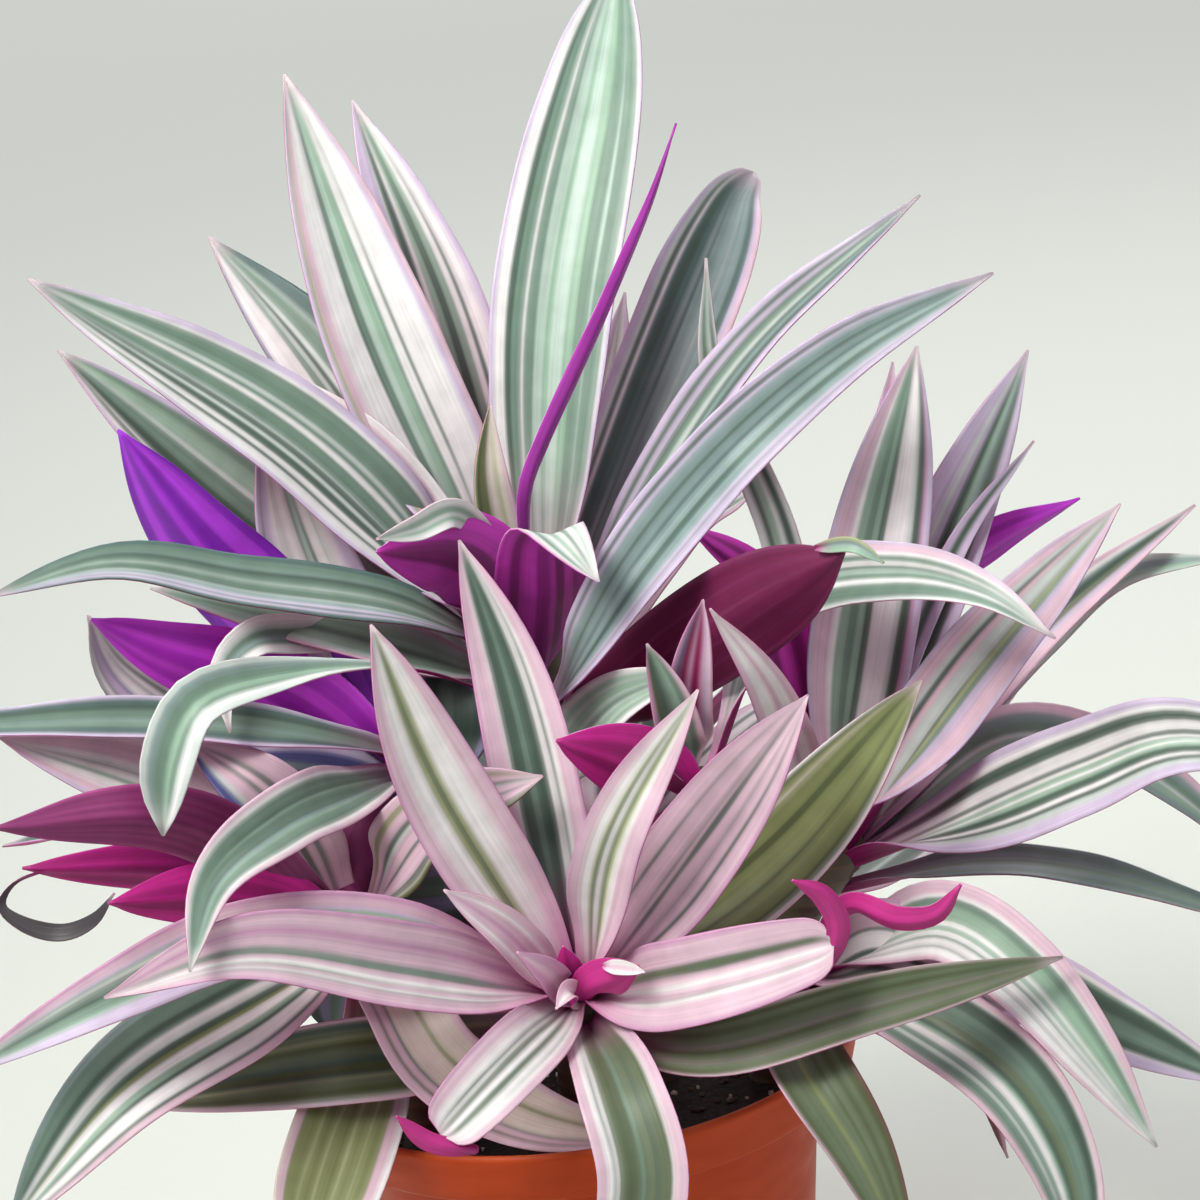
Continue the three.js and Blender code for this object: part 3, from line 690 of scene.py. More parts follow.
@dataclass(frozen=True)
class Rosette:
    """One leafy shoot: where its crown is and where its stem stands, its leaves, and its far side.

    `crown` is a point of the photograph, and `crown_place` one in millimetres where the photograph
    doesn't show it.
    """

    name: str
    crown: tuple[float, float, float] | None
    foot: tuple[float, float]
    radius: float
    leaves: tuple[Leaf, ...] = ()
    far: FarLeaves | None = None
    crown_place: tuple[float, float, float] | None = None


ROSETTES = (
    Rosette(
        "rear",
        crown=(535, 625, 20),
        foot=(-6, 14),
        radius=6.5,
        leaves=(
            Leaf("tall_middle", 31, 0.6, [(553, 320, 34), (594, 90, 56), (619, -45, 86)], drop=2,
                 widest=0.5, marks="L2 W1.5 G9 m2 G8 g6 m8 g3 m6 G5 W2 G6 D4 W6 L3"),
            Leaf("tall_left", 30, 0.8, [(380, 345, 28), (284, 74, 38)], drop=6,
                 marks="P3 L3 W14 D2 W4 G2 g4 m4 G3 D2 W14 P6 o2 L3"),
            Leaf("tall_left_behind", 26, 0.7, [(440, 320, 50), (352, 100, 72)], drop=10,
                 marks="L4 W7 D2 W3 g4 D4 g3 W3 D5 w2 L16"),
            Leaf("left_behind", 28, 0.7, [(340, 392, 52), (209, 237, 70)], drop=20,
                 marks="T9 w1 G7 w2 D2 w2 G3 W10 k2"),
            Leaf("long_left", 26, 0.8, [(310, 450, 6), (28, 279, -8)], drop=14,
                 marks="L3 W2 G9 w2 G2 W2 G7 w1 D3 w2 D4 W3 D2 W4 L2"),
            Leaf("long_left_low", 26, 0.7, [(238, 503, 30), (58, 350, 26)], drop=24,
                 marks="L3 G4 g7 w2 G7 D6 W2 D3 W4 L2"),
            Leaf("thin_left", 13, 0.9, [(390, 465, 18), (283, 369, 24)], drop=12,
                 marks="W4 P4 o1 W4 O1 P5 R2"),
            Leaf("young_middle", 12, 0.8, [(489, 480, 6), (490, 404, 10)], marks="P3 c5 o2 c7 O8 d3 o2"),
            Leaf("sword", 4.4, 0.6,
                 [(526, 490, -3), (540, 447, 0), (577, 367, 6), (610, 293, 9), (650, 200, 12),
                  (676, 123, 14)],
                 drop=2, back=True, widest=0.45, under="O", marks="L1 G6 L1"),
            Leaf("behind_right", 15, 0.7, [(600, 440, 62), (625, 292, 75)], drop=10,
                 marks="L5 w4 D1 w3 D1 L5"),
            Leaf("broad_right", 25, 0.8,
                 [(636, 438, 46), (693, 300, 62), (720, 233, 76), (736, 195, 86), (754, 172, 92)],
                 drop=8, widest=0.62, end=0.5, rounding=0.35,
                 marks="P3 L3 T5 t8 w1 t10 T3 w1 T6 D4 T3 W2 D3 w3 L4"),
            Leaf("long_right_high", 14, 0.6, [(742, 355, 26), (920, 195, 22)], drop=8,
                 marks="L3 D3 t3 D2 w2 G3 D2 L2 D3 L3"),
            Leaf("long_right", 19, 0.85,
                 [(590, 640, -22), (640, 560, -18), (735, 447, 0), (850, 350, -4), (993, 273, -12)],
                 drop=26, widest=0.5, slim=1.4, marks="L4 D1 L2 t4 T2 D2 t5 T2 t4 D2 t5 L2 D2 L3"),
            Leaf("curl_left", 25, 0.85, [(470, 562, -8), (376, 551, -30)], drop=10, back=True, under="P",
                 marks="L9 G8 L9"),
            Leaf("curl_right", 24, 0, [(545, 600, -10), (551, 534, -30), (599, 582, -45)], drop=14,
                 under="P", marks="P2 W3 G3 m3 W3 g4 W2 G3 W3 g2 W3 P2"),
            Leaf("magenta_right", 26, 0.9, [(622, 700, -4), (735, 618, -20), (845, 552, -38)], drop=40,
                 back=True, widest=0.62, under="W", marks="L2 G5 w1 G5 w1 G5 w1 G5 w1 G5 L2"),
            Leaf("striped_low", 17, 0.8, [(618, 700, -24), (688, 672, -34)], drop=40,
                 marks="W4 g3 w1 g3 w1 G3 w1 g4 w1 g3 W3"),
            Leaf("level_left", 15, 0.6, [(400, 608, -6), (250, 585, -16), (110, 564, -24), (-16, 598, -32)],
                 drop=10, marks="T3 G5 t1 D3 G4 w1 G5 D2 w1 t4 L2 T2 L2 T3"),
            Leaf("level_left_low", 15, 0.6, [(400, 648, -2), (290, 620, -3), (150, 588, -6)], drop=16,
                 marks="P3 m4 g6 G4 g6 m3 P2"),
            Leaf("arch_left", 13, 0.9,
                 [(400, 667, -28), (290, 673, -42), (195, 702, -52), (168, 762, -56), (163, 836, -58)],
                 drop=20, twist=(0.35, 0.75), widest=0.84, waist=0.1, slim=6, tip_tone="W",
                 marks="w4 t4 G7 g4 G3 w2 W3 w4"),
            Leaf("curl_left_lip", 7, 1, [(455, 513, -13), (415, 529, -26), (377, 539, -38)], twist=(-1, 0),
                 start=(492, 536, -2), waist=0.6, marks="W4 g4 W2 g3 W4"),
            Leaf("small_arch", 10, 0.9,
                 [(400, 641, 4), (300, 634, -5), (250, 641, -19), (223, 674, -29), (230, 733, -36)],
                 drop=22, twist=(0, 0.3), widest=0.62, waist=0.16, slim=3, marks="W5 w3 G4 t3 G2 W6"),
            Leaf("magenta_right_lip", 3.6, 1, [(853, 545, -41), (884, 563, -44)], start=(816, 548, -35),
                 twist=(-1, 0), waist=0.5, tip_tone="o", marks="g3 t3 o2"),
        ),
        far=FarLeaves("rear_far", 6, middle=95, spread=110, rise=50, length=125, drop=14, wide=25),
    ),
    Rosette(
        "front",
        crown=(578, 980, -48),
        foot=(0, -26),
        radius=6,
        leaves=(
            Leaf("left_up", 22, 0.85, [(440, 785, -52), (371, 625, -62)], blush=0.6,
                 marks="R2 P12 W16 O1 o3 s4 o2 O1.5 W14 P10 R2"),
            Leaf("middle_up", 21, 0.85, [(513, 690, -26), (459, 540, -18)], blush=0.6,
                 marks="R2 P9 W3 D2 W4 D9 G4 D9 W2 P12 R2"),
            Leaf("right_up", 15.5, 0.8, [(612, 843, -64), (698, 690, -75)], blush=0.6,
                 marks="R2 P14 W5 o3 s4 W4 s3 o2 W8 P9 R2"),
            Leaf("right_up_second", 23, 0.8, [(700, 845, -55), (808, 695, -60)], blush=0.6,
                 marks="R2 P8 D2 P6 D1 P7 D3 P2 D1 P10 D1.5 P9 R2"),
            Leaf("olive_right", 24, 0.85, [(780, 850, -38), (922, 680, -45)], drop=8,
                 marks="P1 W1 d3 O9 d2 O10 d3 O8 c1 O3 d2 W1"),
            Leaf("left_long", 20, 0.9, [(400, 965, -75), (240, 948, -90), (104, 998, -96)], drop=4,
                 widest=0.34, blush=0.6, marks="R3 P8 R5 P8 D1 G3 D1 P3 W3 G1 P2 W2 D1 P5 R2"),
            Leaf("left_behind", 18, 0.8,
                 [(400, 936, -58), (240, 940, -70), (120, 990, -84), (-45, 1078, -96)], drop=8,
                 marks="R3 P5 L2 g2 W2 G3 w1 D3 G8 g3 L4 L6"),
            Leaf("small_left", 11, 0.8, [(505, 930, -60), (444, 890, -66)], drop=0, blush=0.35,
                 marks="P4 W2 P4 R2 P4 W2 P3"),
            Leaf("right_low", 21, 0.9, [(700, 980, -74), (834, 944, -86)], drop=4, end=0.62, blush=0.6,
                 marks="R3 P12 W3 D1 P5 W4 P4 D1 s4 D1 P4 P9 R3"),
            Leaf("right_low_tip", 5.5, 1, [(838, 928, -86), (822, 895, -88), (792, 880, -90)], back=True,
                 twist=(-1, 0), start=(821, 978, -84), widest=0.5, waist=0.4, under="H", marks="R4 P6 R4"),
            Leaf("down_left", 17, 0.85, [(512, 1060, -80), (441, 1135, -92)], drop=4, widest=0.6, waist=0.5,
                 end=0.72, blush=0.6, marks="R2 P9 W7 D2 W3 s3 D1 W5 D2 s2 D1 W5 D1 W4 P6"),
            Leaf("down_left_tip", 4.5, 1, [(430, 1142, -94), (396, 1116, -96)], back=True, twist=(-1, 0),
                 start=(478, 1150, -92), waist=0.6, under="H", marks="R4 P6 R4"),
            Leaf("down", 21, 0.85, [(620, 1090, -84), (643, 1180, -96), (612, 1310, -94)], drop=10,
                 widest=0.6, waist=0.5, marks="P5 W3 D1 W2 s5 d1 s4 G2 s5 D1 s5 d2 W1 P5 R1"),
            Leaf("dark_right", 15, 0.7, [(700, 1050, -70), (880, 1003, -78), (1063, 957, -70)], drop=14,
                 marks="P1 d4 s4 x4 s4 d3 x5 s5 d4 s4 d4 c1 P1"),
            Leaf("heart", 11, 0.8, [(596, 985, -60), (616, 976, -65), (640, 966, -68)], back=True,
                 widest=0.5, blush=0.8, under="H", marks="W3 P6 R6"),
            Leaf("dark_left", 20.5, 0.8,
                 [(425, 1054, -46), (340, 1064, -53), (260, 1076, -55), (118, 1105, -61)], drop=16,
                 marks="P2 D4 s4 o1 d5 s5 D4 d4 D3 o1 s5 d4 s3 W1 P2"),
            Leaf("throat_left", 8, 0.8, [(545, 971, -63), (517, 952, -67)], drop=1, waist=0.5, blush=0.7,
                 marks="R4 P4 R4"),
            Leaf("throat_low", 6, 0.7, [(568, 992, -62), (556, 1009, -67)], drop=1, waist=0.5, blush=0.4,
                 marks="P3 W3 P3"),
            Leaf("throat_high", 7, 0.8, [(568, 962, -56), (563, 946, -58)], drop=1, back=True, waist=0.5,
                 marks="L3 G2 L3"),
            Leaf("heart_lip", 3.5, 1, [(624, 968, -70), (645, 972, -73)], start=(603, 966, -65),
                 twist=(-1, 0), marks="W2 P2 W2"),
        ),
    ),
    Rosette(
        "right",
        crown=(850, 835, 5),
        foot=(36, 14),
        radius=6,
        leaves=(
            Leaf("tall", 27, 0.8, [(866, 600, 12), (917, 346, 28)], drop=4,
                 marks="L4 R2 D5 w3 W12 D4 g4 G5 g5 W4 P10 L3"),
            Leaf("tall_behind", 14, 0.8, [(872, 545, 24), (893, 362, 38)], drop=8, marks="L4 P6 D1 P4 L4"),
            Leaf("second", 22, 0.8, [(935, 560, 22), (1028, 350, 35)], drop=10,
                 marks="L7 D7 t3 g3 D6 L3 w4 L14"),
            Leaf("thin", 7, 0.5, [(960, 540, 18), (1034, 441, 22)], drop=4, marks="L3 D3 L3"),
            Leaf("magenta", 17, 0.8, [(925, 595, 32), (995, 540, 30), (1080, 498, 28)], drop=6, back=True,
                 under="F", marks="L4 G2 L6 G2 L4"),
            Leaf("big", 21.5, 0.85, [(968, 677, -12), (1120, 504, -22)], drop=6,
                 marks="L3 P12 L6 G4 o3 D2 w9 P4 D3 w4 P8 L3"),
            Leaf("edge_high", 12, 0.7, [(1048, 622, 18), (1195, 505, 25)], drop=10,
                 marks="P6 L3 d4 D5 t3 W3 P4"),
            Leaf("edge_level", 12, 0.5, [(1040, 640, 30), (1120, 575, 28), (1230, 556, 22)], drop=14,
                 marks="m4 g6 t6 m3 w3"),
            Leaf("level", 24, 0.85, [(960, 822, -12), (1082, 770, -30), (1180, 738, -44), (1330, 765, -55)],
                 drop=8, marks="L8 w4 D3 W3 D5 g3 W2 g3 W2 D3 W7 D7 W4 L5"),
            Leaf("level_behind", 14, 0.7, [(1000, 735, 8), (1100, 745, 5), (1190, 800, 0), (1260, 870, -5)],
                 drop=16, marks="t4 g5 w2 G5 t4 P4"),
            Leaf("dark_level", 10, 0.5, [(980, 862, 0), (1080, 870, -8), (1270, 925, -18)], drop=16,
                 marks="t3 G6 t4 g6 t4 G5 t3"),
            Leaf("pale_tip", 12.5, 1, [(768, 688, -40), (710, 609, -50)], drop=8, blush=0.25,
                 marks="P4 W5 P3 W6 P3 R1"),
            Leaf("steep_left", 10, 1, [(780, 540, 38), (712, 370, 40), (706, 258, 42)], drop=6,
                 marks="w2 D3 w2 g3 D2 w3"),
            Leaf("violet_left", 15, 0.9, [(765, 590, 24), (688, 524, 20)], drop=10, back=True, under="P",
                 marks="L3 G4 L3 G4 L3"),
        ),
        far=FarLeaves("right_far", 2, middle=78, spread=60, rise=30, length=110, drop=12, wide=22),
    ),
    Rosette(
        "middle",
        crown=(705, 775, -34),
        foot=(20, -6),
        radius=5,
        leaves=(
            Leaf("red", 11, 1, [(690, 690, -44), (703, 600, -52)], blush=0.2,
                 marks="P4 L2 R3 U6 R3 U5 k4 R3"),
            Leaf("dark", 11, 1, [(672, 705, -48), (647, 644, -52)], marks="P3 G4 g3 G3 D4 d3 R2"),
            Leaf("magenta", 20, 0.8, [(625, 762, -50), (556, 740, -54)], drop=6, back=True, under="M",
                 marks="L4 G3 w1 G3 L4"),
            Leaf("arch_right", 17, 0.6, [(785, 602, 6), (895, 574, -20), (988, 594, -42), (1055, 638, -56)],
                 drop=2, waist=0.2, slim=2, marks="W2 w2 G12 W4 G4 m3 D2 W3 G4 W3 P5 L2"),
        ),
    ),
    Rosette(
        "left",
        crown=(430, 755, 0),
        foot=(-22, 2),
        radius=6,
        leaves=(
            Leaf("violet", 27, 0.8, [(290, 640, 11), (190, 535, 5), (118, 429, -2)], drop=6, back=True,
                 under="V", marks="G4 L4 G6 w2 G5 L5 G3"),
            Leaf("pale_up", 25, 0.8, [(312, 575, 14), (262, 410, 16)], drop=10, blush=0.3,
                 marks="L8 W6 g1 W5 D1.5 m3 D1.5 W9 G1 W5 L5 D1.5 L4"),
            Leaf("arch", 17, 0.8,
                 [(398, 780, -12), (340, 796, -34), (280, 824, -58), (212, 886, -86), (190, 971, -104)],
                 tip_tone="W", marks="P4 W3 G9 D2 g2 G7 D2 t3 g2 G9 W3 P4"),
            Leaf("level", 12, 0.6, [(370, 748, -15), (160, 720, -30), (-110, 730, -42)], drop=4,
                 marks="L2 T4 D4 G6 t2 G5 T6 L3"),
            Leaf("magenta_level", 22, 0.9, [(270, 688, -8), (160, 650, -14), (91, 619, -18)], drop=6,
                 back=True, under="F", marks="L3 G3 L3 G4 L3 G4 L3"),
            Leaf("curl", 20, 0.9, [(262, 765, -6), (122, 676, -8), (88, 616, -14)], drop=12, blush=0,
                 marks="W3 T2 W3 D2 W3 T1 W5 b1 L6 D1 W3 t2"),
            Leaf("blue", 18, 0.7, [(350, 770, -6), (230, 755, -8)], drop=12, marks="b5 L3 b5 t4 b5 L3"),
            # A dark sheet of painted shade, filling a shadowed gap of the rosette.
            Leaf("dark_up", 28, 0.8, [(440, 718, 3), (446, 672, 7)], drop=8, widest=0.6,
                 marks="k2 K6 D4 K6 k3"),
        ),
        far=FarLeaves("left_far", 3, middle=145, spread=60, rise=40, length=110, drop=10, wide=22),
    ),
    Rosette(
        "low_left",
        crown=(350, 905, -22),
        foot=(-36, -18),
        radius=6,
        leaves=(
            Leaf("magenta", 17, 0.9, [(235, 896, -45), (108, 903, -60)], drop=2, back=True, under="M",
                 marks="L4 G4 w1 G3 L5"),
            Leaf("up_right", 20, 0.7, [(430, 822, -39), (543, 776, -43.5)],
                 marks="d3 c1 D3 P9 D2 P6 w2 D2 P5 O3 P4"),
            Leaf("burgundy", 17, 0.9, [(180, 822, -50), (-8, 828, -70)], drop=4, back=True, under="U",
                 marks="L2 G4 w1 G3 w1 G4 w1 G3 L1 G4 w1 G3 w1 G4 L2"),
            Leaf("burgundy_low", 14, 0.8, [(200, 874, -38), (22, 868, -50)], drop=8, back=True, under="M",
                 marks="L2 G4 w1 G3 w1 G4 L2"),
            Leaf("dry_end", 4.5, 0.5,
                 [(14, 884, -52), (2, 906, -54), (24, 924, -56), (62, 932, -57), (94, 919, -58),
                  (114, 893, -58)],
                 keel=0, twist=(-1, 0), start=(50, 869, -48.5), widest=0.62, waist=0.14, slim=3,
                 marks="A4 A4"),
            Leaf("pale_left", 24, 0.8, [(180, 795, -25), (0, 738, -35)], drop=8,
                 marks="W6 P10 W4 D1 W4 g2 W6 P6 L3"),
            Leaf("pale_inner", 20, 0.8, [(270, 800, -32), (190, 742, -21)], drop=4,
                 marks="P9 D2 P3 D2 P5 w3 b5"),
            Leaf("down_left", 25, 0.85, [(262, 1000, -54), (118, 1092, -80), (5, 1232, -90)], drop=10,
                 marks="t4 G7 D3 G2 W3 w2 D3 O2 W3 W2 g3 D2 W7 D2 P4"),
            Leaf("in_pot", 20, 0.8,
                 [(400, 1000, -52), (440, 1062, -62), (530, 1117, -58), (645, 1140, -54)], drop=12,
                 marks="P4 d1 P3 D1 c10 O2 c9 P3"),
            Leaf("hanging", 26, 0.85,
                 [(374, 1040, -30), (366, 1082, -39), (349, 1128, -58), (296, 1290, -92)], drop=16,
                 widest=0.62, marks="c1 P2 O5 o1 O4 o1 O5 o1 O4 o1 O5 P3 W2"),
            Leaf("burgundy_up", 24, 0.9, [(362, 848, -20), (388, 790, -13)], drop=4, back=True, under="U",
                 marks="G3 w1 G4 w1 G3"),
            # Two dark sheets of painted shade, filling shadowed gaps of the rosette.
            Leaf("dark_right", 24, 0.9, [(405, 893, -16), (478, 885, -14)], drop=6, widest=0.6,
                 marks="K4 k3 D4 k3 K4"),
            Leaf("dark_down", 15, 0.8, [(338, 980, -16), (333, 1034, -14)], drop=8, widest=0.6,
                 marks="K4 k3 D4 k3 K4"),
        ),
    ),
    Rosette(
        "low_right",
        crown=(800, 970, -28),
        foot=(46, -12),
        radius=6,
        leaves=(
            Leaf("arch", 20, 0.85,
                 [(940, 922, -46), (1022, 972, -62), (1088, 1050, -72), (1157, 1147, -78)], tip_tone="W",
                 marks="P3 W6 D1 W5 G2 W3 g3 W3 g9 G5 W2 P8"),
            Leaf("down_right", 21, 0.85,
                 [(912, 1012, -52), (1015, 1083, -70), (1072, 1190, -80), (1075, 1300, -82)], drop=6,
                 marks="P3 G5 w2 G3 W4 g2 D3 s4 G8 D4 D2 W1 P3"),
            Leaf("edge_right", 20, 0.8, [(1000, 978, -30), (1110, 1026, -40), (1240, 1085, -50)], drop=4,
                 marks="L7 W1 D6 G9 D6 G2 W2 L2"),
            Leaf("tiny_tip", 7, 0.5, [(972, 1075, -44), (1008, 1158, -50)], drop=6, marks="B5 P4"),
            Leaf("hanging", 18, 0.85, [(808, 1062, -72), (862, 1150, -86), (915, 1270, -96)], drop=10,
                 marks="P1 d4 s4 d1 s5 O2 s5 d2 s4 d3 s3 d4 B2"),
            Leaf("magenta_curl", 6.5, 0.7,
                 [(850, 905, -62), (898, 920, -74), (936, 914, -78), (961, 884, -80)], back=True,
                 widest=0.75, waist=0.25, slim=2, under="H", marks="R4 P4 R4"),
            Leaf("second", 22, 0.8, [(880, 945, -38), (1010, 1010, -50)], drop=3,
                 marks="P4 D2 w3 D2 W4 D1 P6 R1"),
        ),
    ),
    Rosette(
        "back",
        crown=None,
        foot=(8, 34),
        radius=6,
        far=FarLeaves("far", 10, middle=92, spread=170, rise=36, length=118, drop=2, wide=24),
        crown_place=(12, 50, 156),
    ),
)


@dataclass(frozen=True)
class Bed:
    """Where the potting mix stands in the pot: higher in the middle than at the wall."""

    rim: float = 122.0
    below_rim: float = 13.0
    hump: float = 3.0
    reach: float = 70.0

    def height(self, radius: float) -> float:
        """Give the mix's height at a distance from the pot's axis."""
        return self.rim - self.below_rim + self.hump * math.cos(math.pi / 2 * radius / self.reach)


BED = Bed()


class FarDraws:
    """The random numbers that shape the far leaves, the same ones that shaped their solids.

    The lowest of a rosette's far leaves climbs FLATTER degrees less than the highest and starts LOWER
    millimetres below it.
    """

    SEED = 20231
    FACTOR = 16807
    MODULUS = 2147483647
    FLATTER = 45
    LOWER = 24
    CLIMB_SPREAD = 8
    LEAST_REACH = 0.85
    REACH_SPREAD = 0.25
    LEAST_WIDTH = 0.9
    WIDTH_SPREAD = 0.2
    LEAST_SAG = 0.16
    SAG_SPREAD = 0.12
    BEND_AT = 0.55
    BEND_SAG = 0.02

    def __init__(self) -> None:
        """Start at the seed."""
        self.draw = self.SEED

    def next(self) -> float:
        """Give the next number, 0 to 1."""
        self.draw = (self.draw * self.FACTOR) % self.MODULUS
        return self.draw / self.MODULUS

    def grow(self, far: FarLeaves, crown: np.ndarray) -> list[Leaf]:
        """Grow the far leaves of one rosette.

        Args:
            far: Their number, headings and sizes.
            crown: The rosette's crown.

        Returns:
            The leaves.
        """
        grown = []
        for k in range(far.count):
            share = (k * GOLDEN_ANGLE / 360) % 1
            heading = math.radians(far.middle + (share - 0.5) * far.spread)
            low_share = k / far.count
            tilt = self.CLIMB_SPREAD * (self.next() - 0.5)
            climb = math.radians(far.rise - self.FLATTER * low_share + tilt)
            reach = far.length * (self.LEAST_REACH + self.REACH_SPREAD * self.next())
            out = np.array([math.cos(heading), math.sin(heading), 0])
            low = far.drop + self.LOWER * low_share
            root = crown - np.array([0, 0, low])
            wide = far.wide * (self.LEAST_WIDTH + self.WIDTH_SPREAD * self.next())
            sag = self.LEAST_SAG + self.SAG_SPREAD * self.next()
            line = [
                root + out * run * reach * math.cos(climb)
                + np.array([0, 0, run * reach * math.sin(climb) - fall * reach])
                for run, fall in ((self.BEND_AT, self.BEND_SAG), (1.0, sag))
            ]
            marks = FAR_MARKS[k % len(FAR_MARKS)]
            name = f"{far.name}_{k + 1}"
            grown.append(Leaf(name, wide, 0, [], marks, drop=low, line=np.array(line)))
        return grown


def even_points(knots: np.ndarray, count: int) -> np.ndarray:
    """Lay evenly spaced points on a smooth curve through the knots.

    Args:
        knots: The places that the curve passes.
        count: How many steps the curve is cut into.

    Returns:
        count + 1 places.
    """
    ends = [2 * knots[0] - knots[1], *knots, 2 * knots[-1] - knots[-2]]
    s = np.linspace(0, 1, CURVE_STEPS, endpoint=False)[:, None]
    fine = []
    for p0, p1, p2, p3 in zip(ends, ends[1:], ends[2:], ends[3:]):
        d0, d1, d2 = (max(np.linalg.norm(b - a) ** 0.5, 1e-3) for a, b in ((p0, p1), (p1, p2), (p2, p3)))
        t1 = ((p1 - p0) / d0 - (p2 - p0) / (d0 + d1) + (p2 - p1) / d1) * d1
        t2 = ((p2 - p1) / d1 - (p3 - p1) / (d1 + d2) + (p3 - p2) / d2) * d1
        fine.append(
            p1 + t1 * s + (3 * (p2 - p1) - 2 * t1 - t2) * s**2 + (2 * (p1 - p2) + t1 + t2) * s**3
        )
    curve = np.concatenate([*fine, knots[-1:]])
    run = np.concatenate([[0], np.cumsum(np.linalg.norm(np.diff(curve, axis=0), axis=1))])
    place = np.linspace(0, run[-1], count + 1)
    return np.column_stack([np.interp(place, run, curve[:, k]) for k in range(3)])


@dataclass
class Stripes:
    """The bands of a leaf as columns of its mesh.

    `share` is each column's place across, -1 to 1, `tone` its linear colour, and `band` and `within`
    say which band it is in and how far across it. Two pale bands `melt` into each other over a share
    of the half width, and other neighbours meet within the narrower `crisp`.
    """

    marks: str
    crisp: float = 0.028
    melt: float = 0.12
    pale_above: float = 0.42
    most_melt: float = 0.48
    most_crisp: float = 0.35
    widest: float = 0.11
    deep: float = 0.15
    deep_to_pale: float = 0.5
    share: np.ndarray = field(init=False)
    tone: np.ndarray = field(init=False)
    band: np.ndarray = field(init=False)
    within: np.ndarray = field(init=False)
    bands: int = field(init=False)

    def __post_init__(self) -> None:
        """Cut the width into columns: a close pair at each edge of a band, and others between."""
        tones = Tone.table()
        pairs = re.findall(r"([A-Za-z])([\d.]+)", self.marks)
        marks = [(tones[letter], float(size)) for letter, size in pairs]
        total = sum(size for _, size in marks)
        edges = np.concatenate([[0], np.cumsum([size for _, size in marks])]) / total * 2 - 1
        soft = [0.0]
        for k in range(1, len(marks)):
            narrow = min(edges[k] - edges[k - 1], edges[k + 1] - edges[k])
            pale = min(marks[k - 1][0].mean(), marks[k][0].mean()) > self.pale_above
            melt = min(self.melt, self.most_melt * narrow)
            crisp = min(self.crisp, self.most_crisp * narrow)
            soft.append(melt if pale else crisp)
        soft.append(0.0)
        rows = []
        for number, (tone, _) in enumerate(marks):
            low, high = edges[number], edges[number + 1]
            first = low + soft[number]
            last = high - soft[number + 1]
            steps = max(math.ceil((last - first) / self.widest), 1)
            for k in range(steps + 1):
                place = first + (last - first) * k / steps
                rows.append((place, number, (place - low) / (high - low), *tone))
        table = np.array(rows)
        self.share = table[:, 0]
        self.band = table[:, 1].astype(int)
        self.within = table[:, 2]
        self.tone = table[:, 3:]
        self.bands = len(marks)

    def paleness(self) -> np.ndarray:
        """Say how pale each column is, 0 to 1."""
        return np.clip((self.tone.mean(axis=1) - self.deep) / self.deep_to_pale, 0, 1)


